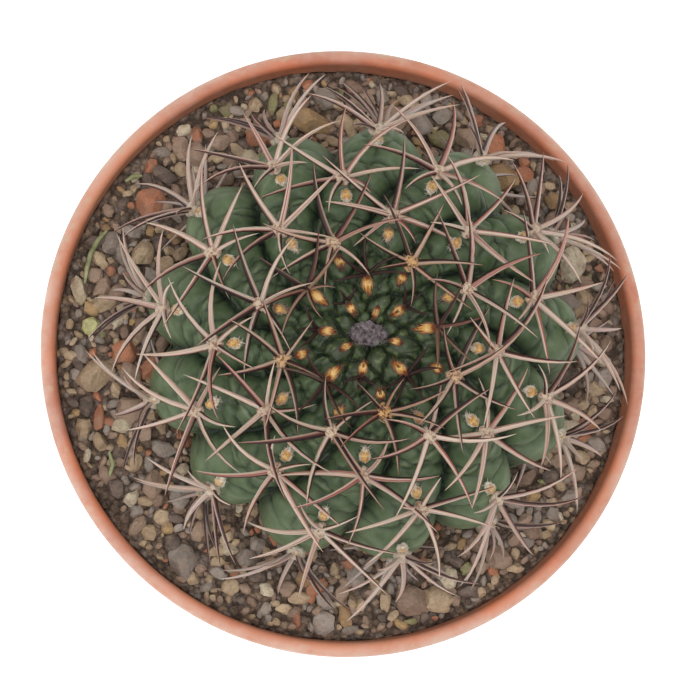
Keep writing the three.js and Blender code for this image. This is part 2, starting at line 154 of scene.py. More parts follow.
def linked(name: str, data: bpy.types.ID) -> Piece:
    """Puts new data into the scene, as an object of that name."""
    thing = bpy.data.objects.new(name, data)
    bpy.context.scene.collection.objects.link(thing)
    return thing


def settle(piece: Piece) -> None:
    """Puts a piece's place into its mesh, so that its object sits at the origin."""
    select_only(piece)
    bpy.ops.object.transform_apply(location=True, rotation=True, scale=True)


@contextmanager
def editing(piece: Piece) -> Iterator[None]:
    """Opens a piece in edit mode with all of it selected, and turns its faces outwards at the end.

    Args:
        piece: The piece.

    Yields:
        Nothing: operators act on the piece meanwhile.
    """
    select_only(piece)
    bpy.ops.object.mode_set(mode="EDIT")
    bpy.ops.mesh.select_all(action="SELECT")
    yield
    bpy.ops.mesh.select_all(action="SELECT")
    bpy.ops.mesh.normals_make_consistent(inside=False)
    bpy.ops.object.mode_set(mode="OBJECT")


def draw_up(rings: Iterable[Ring], radius: float, height: float, unit: float = MM) -> None:
    """Extrudes the selected ring or disc from ring to ring.

    Args:
        rings: The rings to come.
        radius: Radius of the selected ring.
        height: Its height.
        unit: How many metres one unit of these sizes is.
    """
    for next_radius, next_height in rings:
        bpy.ops.mesh.extrude_region_move(
            TRANSFORM_OT_translate={"value": (0, 0, (next_height - height) * unit)})
        share = next_radius / radius
        bpy.ops.transform.resize(value=(share, share, 1), center_override=(0, 0, 0))
        radius, height = next_radius, next_height


def points_of(mesh: bpy.types.Mesh) -> np.ndarray:
    """Reads the corners of a mesh, in metres."""
    points = np.empty(len(mesh.vertices) * 3)
    mesh.vertices.foreach_get("co", points)
    return points.reshape(-1, 3)


def store(mesh: bpy.types.Mesh, **numbers: np.ndarray) -> None:
    """Stores a number on each corner of a mesh, under each name, for the finish to read."""
    for name, values in numbers.items():
        mesh.attributes.new(name, "FLOAT", "POINT").data.foreach_set("value", values.astype(np.float32))


def two_nearest(distances: Iterable[np.ndarray]) -> tuple[np.ndarray, np.ndarray]:
    """Picks the least and the next of several distances, at each point.

    Args:
        distances: The distance of every point to one centre after another.

    Returns:
        The least distance and the next one.
    """
    nearest = second = np.inf
    for away in distances:
        second = np.minimum(second, np.maximum(away, nearest))
        nearest = np.minimum(nearest, away)
    return nearest, second


def hand_in(piece: Piece, material: Material, slot: str, *nodes: str) -> None:
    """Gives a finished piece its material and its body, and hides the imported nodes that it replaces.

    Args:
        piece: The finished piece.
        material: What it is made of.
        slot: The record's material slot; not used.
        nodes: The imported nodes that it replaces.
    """
    piece.data.materials.clear()
    piece.data.materials.append(material)
    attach(piece, "root")
    if nodes:
        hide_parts(*nodes)
    LOG.info("%s: %d faces", piece.name, len(piece.data.polygons))


# -------- finishes


class Shader:
    """A material under construction: one Principled surface and the nodes that feed it."""

    def __init__(self, name: str) -> None:
        """Starts a material with nothing but its surface, its output and its coordinates."""
        self.material = bpy.data.materials.new(name)
        self.material.use_nodes = True
        self.tree = self.material.node_tree
        self.tree.nodes.clear()
        self.surface = self._node("BsdfPrincipled")
        self._node("OutputMaterial", {"Surface": self.surface.outputs[0]})
        self.where = self._node("TexCoord").outputs["Object"]

    def _node(self, kind: str, inputs: dict | None = None, **settings: object) -> bpy.types.Node:
        """Adds a node.

        Args:
            kind: Its type, without the word ShaderNode.
            inputs: What its inputs are linked or set to, by name or number.
            settings: Its own settings.

        Returns:
            The node.
        """
        node = self.tree.nodes.new("ShaderNode" + kind)
        for name, value in settings.items():
            setattr(node, name, value)
        for name, value in (inputs or {}).items():
            if isinstance(value, Socket):
                self.tree.links.new(value, node.inputs[name])
            else:
                node.inputs[name].default_value = (*value, 1.0) if isinstance(value, tuple) else value
        return node

    def attribute(self, name: str) -> Socket:
        """Reads a number stored on the mesh."""
        return self._node("Attribute", attribute_name=name).outputs["Fac"]

    def along_around(self) -> tuple[Socket, Socket]:
        """Reads the piece's own UV map, and gives its two numbers."""
        split = self._node("SeparateXYZ", {0: self._node("UVMap", uv_map="UVMap").outputs[0]})
        return split.outputs[0], split.outputs[1]

    def grain(self, size_mm: float, detail: float = 2.0, rough: float = 0.5) -> Socket:
        """Noise whose patches are about size_mm across, on the piece's own coordinates."""
        return self._node("TexNoise", {"Vector": self.where, "Scale": 1000.0 / size_mm, "Detail": detail,
                                       "Roughness": rough}).outputs["Fac"]

    def patches(self, size_mm: float, detail: float, start: float, end: float, least: float = 0.0,
                most: float = 1.0, rough: float = 0.5) -> Socket:
        """The same noise, made to go from least to most while it rises from start to end."""
        return self.fade(self.grain(size_mm, detail, rough), start, end, least, most)

    def cells(self, size_mm: float) -> tuple[Socket, Socket]:
        """Cells about size_mm across: the distance to a cell's middle, and a random number for each."""
        node = self._node("TexVoronoi", {"Vector": self.where, "Scale": 1000.0 / size_mm})
        return node.outputs["Distance"], self._node("SeparateColor", {0: node.outputs["Color"]}).outputs[0]

    def streaks(self, along: Socket, around: Socket, lot: Socket, waves: Colour) -> Socket:
        """Noise drawn out along a piece, from its UV map and a random number of each copy.

        Args:
            along: How far along the piece a point is.
            around: How far round it.
            lot: The random number of the copy.
            waves: How many patches there are along it, around it and from copy to copy.

        Returns:
            The noise, from 0 to 1.
        """
        spread = [self.times(source, count) for source, count in zip((along, around, lot), waves)]
        place = self._node("CombineXYZ", dict(enumerate(spread))).outputs[0]
        return self._node("TexNoise", {"Vector": place, "Scale": 1.0, "Detail": 4.0,
                                       "Roughness": 0.6}).outputs["Fac"]

    def ramp(self, number: Socket, *stops: tuple[float, Colour]) -> Socket:
        """Colours along a number, from the first stop to the last.

        Args:
            number: The number.
            stops: Places and their colours.

        Returns:
            The colour.
        """
        node = self._node("ValToRGB", {0: number})
        elements = node.color_ramp.elements
        while len(elements) < len(stops):
            elements.new(0.5)
        for element, (place, colour) in zip(elements, stops):
            element.position = place
            element.color = (*colour, 1.0)
        return node.outputs[0]

    def fade(self, number: Socket, start: float, end: float, low: float = 0.0, high: float = 1.0) -> Socket:
        """A number that goes from low to high while another goes from start to end."""
        return self._node("MapRange", {"Value": number, "From Min": start, "From Max": end,
                                       "To Min": low, "To Max": high}).outputs[0]

    def _reckon(self, operation: str, first: Socket, others: Sequence[Socket | float]) -> Socket:
        """Joins numbers one after another by an operation."""
        for other in others:
            first = self._node("Math", {0: first, 1: other}, operation=operation).outputs[0]
        return first

    def times(self, first: Socket, *others: Socket | float) -> Socket:
        """Multiplies numbers."""
        return self._reckon("MULTIPLY", first, others)

    def plus(self, first: Socket, *others: Socket | float) -> Socket:
        """Adds numbers."""
        return self._reckon("ADD", first, others)

    def most(self, first: Socket, *others: Socket | float) -> Socket:
        """Takes the largest of some numbers."""
        return self._reckon("MAXIMUM", first, others)

    def blend(self, share: Socket, under: Socket | Colour, over: Socket | Colour) -> Socket:
        """Lays one colour over another by a share."""
        return self._node("Mix", {0: share, 6: under, 7: over}, data_type="RGBA").outputs[2]

    def coats(self, colour: Socket, *coats: tuple[Socket, Socket | Colour]) -> Socket:
        """Lays coat after coat over a colour, each by its share."""
        for share, over in coats:
            colour = self.blend(share, colour, over)
        return colour

    def relief(self, height: Socket, depth_mm: float, strength: float = 1.0,
               after: Socket | None = None) -> Socket:
        """Turns a height into a bumped normal, on top of another one where that is given."""
        inputs = {"Strength": strength, "Distance": depth_mm * MM, "Height": height}
        return self._node("Bump", inputs if after is None else {**inputs, "Normal": after}).outputs[0]

    def finish(self, colour: Socket, relief: Socket | None, roughness: Socket | float,
               **constants: float) -> Material:
        """Feeds the surface and sets its constants.

        Args:
            colour: Its colour.
            relief: Its bumped normal, if it has one.
            roughness: Its roughness, all over or from place to place.
            constants: Its other sockets by name, with _ for a space.

        Returns:
            The material.
        """
        feeds = {"Base Color": colour, "Normal": relief, "Roughness": roughness, **constants}
        for name, value in feeds.items():
            socket = self.surface.inputs[name.replace("_", " ")]
            if isinstance(value, Socket):
                self.tree.links.new(value, socket)
            elif value is not None:
                socket.default_value = value
        return self.material


@dataclass(frozen=True)
class PotPlastic:
    """Terracotta-coloured plastic with a pale bloom, some lime and a little dirt, a painted highlight along
    the rim's outer edge and painted light on the inner wall below the rim.
    """

    body: Colour = paint(208, 138, 108)
    deep: Colour = paint(186, 114, 88)
    bloom: Colour = paint(222, 192, 176)
    dirt: Colour = paint(112, 78, 62)
    # painted light: a paler colour laid on the inner wall below the rim, against the shade there
    inner_wall_painted_light: Colour = paint(214, 152, 124)
    warm: Colour = paint(214, 122, 84)
    lime: Colour = paint(196, 180, 154)

    def build(self) -> Material:
        """Makes the material."""
        shader = Shader("terracotta_plastic")
        edge, inner = shader.attribute("rim"), shader.attribute("inside")
        # pale bloom on the rim, thickest at its outer edge, partly a painted highlight along that edge
        bloom_and_rim_highlight = shader.times(edge, edge, shader.patches(8, 5, 0.36, 0.66, 0.2, 0.85, rough=0.7))
        scale = shader.times(edge, shader.patches(4.5, 5, 0.56, 0.66, 0.0, 0.7, rough=0.7))
        colour = shader.coats(
            shader.blend(shader.patches(22, 4, 0.35, 0.65), self.deep, self.body),
            (shader.patches(6, 5, 0.48, 0.7, 0.0, 0.25, rough=0.65), self.bloom),
            (shader.patches(9, 4, 0.5, 0.66, 0.0, 0.6, rough=0.6), self.warm),
            (bloom_and_rim_highlight, self.bloom),
            (scale, self.lime),
            # painted light: the inner wall below the rim is made paler to offset its shade
            (shader.times(inner, 0.6), self.inner_wall_painted_light),
            (shader.times(inner, shader.patches(2.2, 4, 0.5, 0.7, 0.0, 0.45)), self.dirt))
        fine = shader.relief(shader.grain(0.7, 3), 0.05, 0.35)
        return shader.finish(colour, shader.relief(shader.grain(6, 3), 0.12, 0.3, fine),
                             shader.patches(1.6, 3, 0.3, 0.7, 0.42, 0.62), Specular_IOR_Level=0.4)


@dataclass(frozen=True)
class CactusSkin:
    """Matt waxy skin: fresh green on the crown, grey-green outside, with painted shade in the grooves and
    painted yellow-green highlights near the crown.
    """

    fresh: Colour = paint(50, 61, 32)
    grown: Colour = paint(73, 93, 59)
    outer: Colour = paint(104, 122, 88)
    groove: Colour = paint(26, 38, 27)
    # dark green for random darker patches and for the painted shade in the creases and grooves
    pale: Colour = paint(136, 148, 116)
    # painted highlight colour for the glints near the crown
    crown_glint: Colour = paint(104, 122, 62)

    def build(self) -> Material:
        """Makes the material."""
        shader = Shader("cactus_skin")
        age = shader.attribute("age")
        wave = shader.plus(age, shader.patches(9, 3, 0.3, 0.7, -0.1, 0.1))
        mottle = shader.patches(1.8, 4, 0.35, 0.7, 0.0, 0.28, rough=0.6)
        # painted highlights: pale yellow-green glints on the young tubercles near the crown
        veins = shader.patches(1.5, 3, 0.54, 0.66, 0.0, 0.75, rough=0.6)
        colour = shader.coats(
            shader.ramp(wave, (0.0, self.fresh), (0.24, self.grown), (0.6, self.grown), (1.0, self.outer)),
            (shader.times(mottle, shader.fade(age, 0.0, 0.3, 0.35, 1.0)), self.pale),
            (shader.times(veins, shader.fade(age, 0.01, 0.16, 1.0, 0.0)), self.crown_glint),
            (shader.patches(5, 3, 0.4, 0.7, 0.0, 0.25), self.groove),
            (shader.times(shader.attribute("fold"), 0.8), self.pale),
            # painted shade along the creases, rib valleys and bead wrinkles, from the groove attribute
            (shader.attribute("groove"), self.groove))
        pores = shader.relief(shader.cells(0.55)[0], 0.05, 0.3)
        return shader.finish(colour, shader.relief(shader.grain(1.4, 4), 0.16, 0.4, pores),
                             shader.patches(2.4, 3, 0.3, 0.7, 0.44, 0.6), Specular_IOR_Level=0.42,
                             Subsurface_Weight=0.06, Subsurface_Scale=0.002)


@dataclass(frozen=True)
class SpineHorn:
    """Horny spines: pale on top, red-brown underneath, partly their own red and partly painted shade of the
    side turned from the light, with a dark tip; near black when young.
    """

    bone: Colour = paint(207, 190, 175)
    horn: Colour = paint(174, 152, 132)
    old: Colour = paint(190, 180, 174)
    brown: Colour = paint(160, 126, 98)
    russet: Colour = paint(140, 60, 50)
    old_russet: Colour = paint(150, 110, 106)
    tip: Colour = paint(44, 19, 16)
    young: Colour = paint(54, 28, 18)
    black: Colour = paint(20, 12, 9)

    def build(self) -> Material:
        """Makes the material."""
        shader = Shader("spine_horn")
        along, around = shader.along_around()
        age, shade = shader.attribute("age"), shader.attribute("shade")
        fibres = shader.streaks(along, around, shade, (3.5, 5.0, 60.0))
        veins = shader.streaks(along, around, shade, (1.8, 3.0, 90.0))
        outward = shader.plus(along, shader.fade(shade, 0.0, 1.0, -0.2, 0.34))
        patchy = shader.times(shader.fade(veins, 0.53, 0.58, 0.0, 0.95),
                              shader.fade(outward, 0.0, 0.6, 0.45, 1.0))
        # red-brown on the underside: partly the spine's own red, partly painted shade of the side turned from
        # the light
        under = shader.plus(shader.fade(around, 0.72, 0.4), shader.fade(veins, 0.4, 0.6, -0.8, 0.35))
        under = shader.times(under, shader.fade(shade, 0.0, 1.0, 0.2, 0.62))
        flush = shader.most(patchy, under, shader.fade(outward, 0.58, 0.98, 0.0, 0.8))
        red = shader.blend(shader.fade(age, 0.5, 1.0), self.russet, self.old_russet)
        grown = shader.coats(
            shader.blend(shader.fade(age, 0.015, 0.13), self.brown, self.bone),
            (shader.fade(age, 0.6, 1.0), self.old),
            (shader.fade(fibres, 0.44, 0.58, 0.0, 0.8), self.horn),
            (shader.times(flush, shader.fade(age, 0.4, 0.85, 1.0, 0.5)), red))
        youth = shader.blend(shader.fade(along, 0.05, 0.35), self.young, self.black)
        tipward = shader.plus(along, shader.fade(age, 0.0, 0.35, 0.34, 0.0))
        colour = shader.coats(youth, (shader.fade(age, 0.003, 0.035), grown),
                              (shader.fade(tipward, 0.72, 0.95), self.tip))
        return shader.finish(colour, shader.relief(fibres, 0.12, 0.5), 0.5, Specular_IOR_Level=0.4,
                             Subsurface_Weight=0.4, Subsurface_Scale=0.0014)


@dataclass(frozen=True)
class Felt:
    """Areole wool: brown and gold on the young ones, gold with a cream edge on the grown ones."""

    gold: Colour = paint(200, 146, 72)
    straw: Colour = paint(224, 190, 132)
    cream: Colour = paint(226, 218, 200)
    rust: Colour = paint(116, 60, 32)
    umber: Colour = paint(62, 32, 20)
    seat: Colour = paint(206, 186, 164)
    old: Colour = paint(192, 182, 166)

    def build(self) -> Material:
        """Makes the material."""
        shader = Shader("areole_felt")
        along, edge = shader.along_around()
        age, seat, shade = (shader.attribute(name) for name in ("age", "seat", "shade"))
        fibres = shader.streaks(along, edge, shade, (2.5, 5.0, 70.0))
        wavy = shader.plus(along, shader.fade(fibres, 0.3, 0.7, -0.16, 0.16))
        young = shader.coats(
            shader.ramp(wavy, (0.05, self.umber), (0.24, self.rust), (0.36, self.gold), (0.5, self.straw),
                        (0.64, self.gold), (0.84, self.rust), (1.0, self.umber)),
            (shader.fade(edge, 0.2, 0.8, 0.0, 0.85), self.rust),
            (shader.fade(fibres, 0.52, 0.66, 0.0, 0.85), self.umber))
        tufts = shader.grain(0.45, 3, rough=0.7)
        outside = shader.plus(edge, shader.fade(tufts, 0.35, 0.65, -0.2, 0.2))
        grown = shader.coats(
            shader.ramp(wavy, (0.02, self.cream), (0.14, self.gold), (0.42, self.straw), (0.6, self.gold),
                        (0.78, self.cream)),
            (shader.fade(tufts, 0.5, 0.62, 0.0, 0.55), self.rust),
            (shader.fade(outside, 0.4, 0.72), self.cream))
        speck = shader.patches(0.7, 3, 0.49, 0.58, rough=0.7)
        mound = shader.coats(
            shader.blend(speck, self.gold, self.umber),
            (shader.fade(age, 0.01, 0.12), shader.blend(shader.times(speck, 0.7), self.seat, self.rust)),
            (shader.fade(age, 0.5, 1.0, 0.0, 0.7), self.old))
        colour = shader.coats(
            young,
            (shader.fade(age, 0.08, 0.3), grown),
            (shader.fade(age, 0.55, 1.0, 0.0, 0.4), self.old),
            (seat, mound),
            (shader.fade(shade, 0.0, 1.0, 0.0, 0.3), self.rust))
        return shader.finish(colour, shader.relief(shader.grain(0.25, 3), 0.08, 0.6), 0.85,
                             Sheen_Weight=0.2, Specular_IOR_Level=0.2)


@dataclass(frozen=True)
class CrownWool:
    """Matted grey wool with a purple cast."""

    pale: Colour = paint(130, 117, 120)
    dark: Colour = paint(48, 40, 43)

    def build(self) -> Material:
        """Makes the material."""
        shader = Shader("crown_wool")
        colour = shader.ramp(shader.grain(0.8, 3), (0.32, self.dark), (0.64, self.pale))
        return shader.finish(colour, shader.relief(shader.grain(0.3, 3), 0.12, 0.7), 0.95,
                             Sheen_Weight=0.3, Specular_IOR_Level=0.15)


@dataclass(frozen=True)
class Crumb:
    """Fine grains and crumbs between the stones, with painted shade in the gaps between crumbs."""

    dark: Colour = paint(92, 78, 68)
    brown: Colour = paint(140, 116, 98)
    tan: Colour = paint(176, 150, 126)
    grey: Colour = paint(152, 142, 134)
    # painted shade colour for the gaps between crumbs
    gap: Colour = paint(64, 53, 46)

    def build(self) -> Material:
        """Makes the material."""
        shader = Shader("soil_crumb")
        away, lot = shader.cells(1.5)
        near, fine_lot = shader.cells(0.7)
        coarse = shader.ramp(lot, (0.0, self.dark), (0.35, self.brown), (0.6, self.grey), (0.8, self.dark),
                             (1.0, self.tan))
        fine = shader.ramp(fine_lot, (0.0, self.dark), (0.5, self.brown), (0.8, self.dark), (1.0, self.grey))
        colour = shader.coats(
            shader.blend(shader.patches(4, 3, 0.42, 0.58), fine, coarse),
            (shader.patches(1.0, 5, 0.45, 0.7, 0.0, 0.7, rough=0.7), self.dark),
            # painted shade in the gaps between crumbs, at the cells' edges
            (shader.fade(away, 0.4, 0.75, 0.0, 0.85), self.gap))
        lumps = shader.relief(shader.fade(near, 0.0, 0.7, 1.0, 0.0), 0.35, 0.7)
        lumps = shader.relief(shader.grain(0.5, 4), 0.25, 0.7, lumps)
        lumps = shader.relief(shader.fade(away, 0.0, 0.8, 1.0, 0.0), 0.9, 0.9, lumps)
        return shader.finish(colour, lumps, 0.95, Specular_IOR_Level=0.2)


@dataclass(frozen=True)
class DryStalk:
    """A dry greenish stalk."""

    pale: Colour = paint(176, 178, 138)
    green: Colour = paint(118, 122, 80)

    def build(self) -> Material:
        """Makes the material."""
        shader = Shader("dry_stalk")
        colour = shader.ramp(shader.grain(3, 4, rough=0.6), (0.35, self.green), (0.65, self.pale))
        return shader.finish(colour, shader.relief(shader.grain(0.8, 3), 0.15, 0.5), 0.8,
                             Specular_IOR_Level=0.3)


class Grit(Enum):
    """The kinds of stone in the mix: a name, a pale and a dark colour, and a share of the count."""

    BROWN = ("grit_brown", paint(176, 150, 130), paint(122, 100, 86), 0.32)
    TAN = ("grit_tan", paint(206, 182, 150), paint(154, 130, 102), 0.21)
    GREY = ("grit_grey", paint(172, 161, 151), paint(126, 116, 108), 0.19)
    DARK = ("grit_dark", paint(108, 96, 90), paint(72, 63, 58), 0.11)
    BRICK = ("grit_brick", paint(194, 128, 95), paint(148, 96, 74), 0.05)
    PALE = ("grit_pale", paint(226, 214, 188), paint(176, 158, 130), 0.05)
    AMBER = ("grit_amber", paint(190, 158, 112), paint(142, 110, 76), 0.05)
    OLIVE = ("grit_olive", paint(158, 156, 110), paint(112, 108, 76), 0.01)
    BEAD = ("pale_bead", paint(226, 226, 164), paint(196, 198, 128), 0.0)

    def build(self) -> Material:
        """Makes the material, which varies from stone to stone by the shade stored on each."""
        name, pale, dark, _ = self.value
        dust = paint(146, 124, 108)
        shader = Shader(name)
        colour = shader.coats(
            shader.blend(shader.attribute("shade"), dark, pale),
            (shader.times(shader.patches(1.3, 5, 0.38, 0.66, rough=0.7), 0.6), pale),
            (shader.patches(0.5, 3, 0.54, 0.7, 0.0, 0.7), dark),
            (shader.patches(1.7, 5, 0.44, 0.66, 0.1, 0.65, rough=0.7), dust))
        fine = shader.relief(shader.grain(0.35, 3), 0.16, 0.8)
        return shader.finish(colour, shader.relief(shader.grain(1.2, 4), 0.5, 0.8, fine), 0.88,
                             Specular_IOR_Level=0.25)


# -------- copies of modelled shapes


@dataclass
class Shape:
    """A modelled shape, read from its object once so that copies of it can be placed."""

    corners: np.ndarray
    faces: list[tuple[int, ...]]
    uv: np.ndarray

    @classmethod
    def of(cls, piece: Piece) -> "Shape":
        """Reads an object's mesh and removes the object.

        Args:
            piece: The modelled object.

        Returns:
            Its corners, its faces and the UV of each corner of each face.
        """
        mesh = piece.data
        uv = np.zeros(len(mesh.loops) * 2)
        if mesh.uv_layers:
            mesh.uv_layers[0].data.foreach_get("uv", uv)
        shape = cls(points_of(mesh), [tuple(face.vertices) for face in mesh.polygons], uv.reshape(-1, 2))
        bpy.data.objects.remove(piece)
        return shape


@dataclass
class Copies:
    """Copies of shapes, collected as one piece, with numbers stored for each copy."""

    name: str
    corners: list[np.ndarray] = field(default_factory=list)
    faces: list[tuple[int, ...]] = field(default_factory=list)
    uv: list[np.ndarray] = field(default_factory=list)
    numbers: dict[str, list[np.ndarray]] = field(default_factory=dict)
    count: int = 0

    def add(self, shape: Shape, placed: np.ndarray, **numbers: float) -> None:
        """Adds one copy.

        Args:
            shape: What is copied.
            placed: Its corners in their place, in millimetres.
            numbers: What is stored on the copy, such as its shade.
        """
        start = self.count
        self.corners.append(placed)
        self.faces.extend(tuple(corner + start for corner in face) for face in shape.faces)
        self.uv.append(shape.uv)
        for name, value in numbers.items():
            self.numbers.setdefault(name, []).append(np.full(len(placed), value))
        self.count += len(placed)

    def build(self, smooth_angle: float = 180.0) -> Piece:
        """Makes one object of all the copies.

        Args:
            smooth_angle: Edges sharper than this many degrees stay hard.

        Returns:
            The object, at the origin.
        """
        mesh = bpy.data.meshes.new(self.name)
        mesh.from_pydata(np.vstack(self.corners) * MM, [], self.faces)
        mesh.uv_layers.new(name="UVMap").data.foreach_set("uv", np.vstack(self.uv).ravel())
        store(mesh, **{name: np.concatenate(values) for name, values in self.numbers.items()})
        piece = linked(self.name, mesh)
        select_only(piece)
        bpy.ops.object.shade_smooth_by_angle(angle=math.radians(smooth_angle))
        return piece


# -------- how the plant grows


@dataclass
class Spot:
    """A place on the plant: a point, and the outward, along-the-rib and across-the-rib directions."""

    point: Vector
    normal: Vector
    along: Vector
    across: Vector

    def off(self, rise: float, along: float = 0.0, across: float = 0.0) -> Vector:
        """A point that far off the skin, out along the rib and across it."""
        return self.point + self.normal * rise + self.along * along + self.across * across


@dataclass
class Areole:
    """One areole: its number, how far its felt is stretched, and the places of its parts."""

    number: int
    stretch: float
    point: Spot
    wool: Spot
    root: Spot


@dataclass
class Growth:
    """The outline of the body and the golden-turn rule that sets the areoles."""

    body_radius: float = 42.25
    equator: float = 98.0
    crown_rise: float = 24.0
    under_drop: float = 9.0
    squareness: float = 2.7
    crown_dip: float = 1.1
    crown_dip_radius: float = 4.5
    neck_radius: float = 22.0
    golden_turn: float = 137.5
    first_bearing: float = 71.1
    ribs: int = 13
    rib_to_rib: int = 8
    late_twist_rate: float = 0.8
    late_twist_from: float = 41.1
    first_arc: float = 3.92
    scale: float = 0.355
    power: float = 1.23
    areoles: int = 74
    wool_to_spines: float = 3.7
    wool_reach: float = 1.9
    grown_at: int = 18
    inner_pitch: float = 0.6
    young_stretch: float = 0.45
    arc_jitter: float = 0.9
    turn_jitter: float = 2.2
    pad_seed: int = 411
    aside: tuple[float, float] = (1.85, 0.56)
    lean_angle: float = 5.8
    lean_bearing: float = 206.0
    outline_steps: int = 900
    lean: Matrix = field(default_factory=Matrix)
    arcs: list[float] = field(default_factory=list)
    radii: list[float] = field(default_factory=list)
    heights: list[float] = field(default_factory=list)

    def __post_init__(self) -> None:
        """Walks down the outline, from the crown over the equator to the underside."""
        bearing = math.radians(self.lean_bearing)
        self.lean = (Matrix.Translation((*self.aside, self.equator))
                     @ Matrix.Rotation(math.radians(self.lean_angle), 4,
                                       Vector((-math.sin(bearing), math.cos(bearing), 0)))
                     @ Matrix.Translation((0, 0, -self.equator)))
        power = 2 / self.squareness
        arc = 0.0
        for step in range(self.outline_steps + 1):
            angle = step / self.outline_steps * math.pi
            reach = self.crown_rise if angle < math.pi / 2 else -self.under_drop
            radius = self.body_radius * abs(math.sin(angle)) ** power
            height = self.equator + abs(math.cos(angle)) ** power * reach
            if self.arcs:
                arc += math.hypot(radius - self.radii[-1], height - self.heights[-1])
            self.arcs.append(arc)
            self.radii.append(radius)
            self.heights.append(height)

    def turn_of(self, count: int) -> float:
        """The turn that a count of areoles makes, in degrees between -180 and 180."""
        turn = count * self.golden_turn
        return turn - 360 * math.floor(turn / 360 + 0.5)

    def arc_of(self, number: Numbers) -> Numbers:
        """Arc length from the crown to an areole."""
        return self.first_arc + self.scale * np.maximum(0.0, number) ** self.power

    def number_of(self, arc: Numbers) -> Numbers:
        """The areole number at an arc length, run on smoothly inside the first one."""
        outside = (np.maximum(arc - self.first_arc, 0.0) / self.scale) ** (1 / self.power)
        return np.where(arc < self.first_arc, (arc - self.first_arc) / self.inner_pitch, outside)

    def radius_at(self, arc: Numbers) -> Numbers:
        """Distance from the axis at an arc length."""
        return np.interp(arc, self.arcs, self.radii)

    def late_twist(self, number: Numbers) -> Numbers:
        """Degrees that the later areoles are turned on."""
        return self.late_twist_rate * np.maximum(0.0, number - self.late_twist_from)

    def beside(self, number: Numbers, rib: Numbers, step: Numbers) -> tuple[Numbers, Numbers]:
        """Finds the place that lies some ribs beside an areole and some steps down its rib.

        Args:
            number: The areole.
            rib: How many ribs aside.
            step: How many areoles down the rib.

        Returns:
            The areole number that its arc length stands for, and its bearing in degrees.
        """
        count = number + self.rib_to_rib * rib + self.ribs * step
        turn = self.first_bearing + number * self.golden_turn + self.late_twist(count)
        return count, turn + rib * self.turn_of(self.rib_to_rib) + step * self.turn_of(self.ribs)

    def last_arc(self) -> float:
        """Arc length at the neck, where the ribs end."""
        return next(arc for arc, radius, height in zip(self.arcs, self.radii, self.heights)
                    if height < self.equator and radius < self.neck_radius)

    def spot(self, arc: float, bearing: float) -> Spot:
        """A place on the smooth body.

        Args:
            arc: Arc length from the crown.
            bearing: Angle round the axis, in radians.

        Returns:
            The place with its directions.
        """
        after = max(1, bisect_left(self.arcs, arc))
        length = self.arcs[after] - self.arcs[after - 1]
        share = (arc - self.arcs[after - 1]) / length
        run = self.radii[after] - self.radii[after - 1]
        fall = self.heights[after] - self.heights[after - 1]
        radius = self.radii[after - 1] + share * run
        height = self.heights[after - 1] + share * fall
        cos, sin = math.cos(bearing), math.sin(bearing)
        dip = self.crown_dip * math.exp(-((radius / self.crown_dip_radius) ** 2))
        run, fall = run / length, fall / length
        turn = self.lean.to_3x3()
        return Spot(self.lean @ Vector((radius * cos, radius * sin, height - dip)),
                    turn @ Vector((-fall * cos, -fall * sin, run)),
                    turn @ Vector((run * cos, run * sin, fall)),
                    turn @ Vector((-sin, cos, 0.0)))

    def leant(self, points: np.ndarray) -> np.ndarray:
        """Turns upright points over the plant's lean."""
        turn = np.array(self.lean)
        return points @ turn[:3, :3].T + turn[:3, 3]

    def all_areoles(self) -> list[Areole]:
        """Finds where each areole's wool and spines stand, a little off the regular place.

        Returns:
            The areoles, from the crown outwards.
        """
        draw = seeded_draws(self.pad_seed)
        found = []
        for number in range(self.areoles):
            grown = float(smooth_step(0, self.grown_at, number))
            stretch = self.young_stretch + (1 - self.young_stretch) * grown
            arc = float(self.arc_of(number)) + (draw() - 0.5) * self.arc_jitter * grown
            aside = (draw() - 0.5) * self.turn_jitter * grown
            turn = self.first_bearing + number * self.golden_turn + float(self.late_twist(number)) + aside
            point, wool, root = (self.spot(arc + reach * stretch, math.radians(turn))
                                 for reach in (-self.wool_reach, 0, self.wool_to_spines))
            found.append(Areole(number, stretch, point, wool, root))
        return found


# -------- the body


@dataclass(frozen=True)
class Net:
    """The sheet's points: rib, areole number, arc length, bearing in degrees, distance from the axis."""

    rib: np.ndarray
    number: np.ndarray
    arc: np.ndarray
    bearing: np.ndarray
    radius: np.ndarray


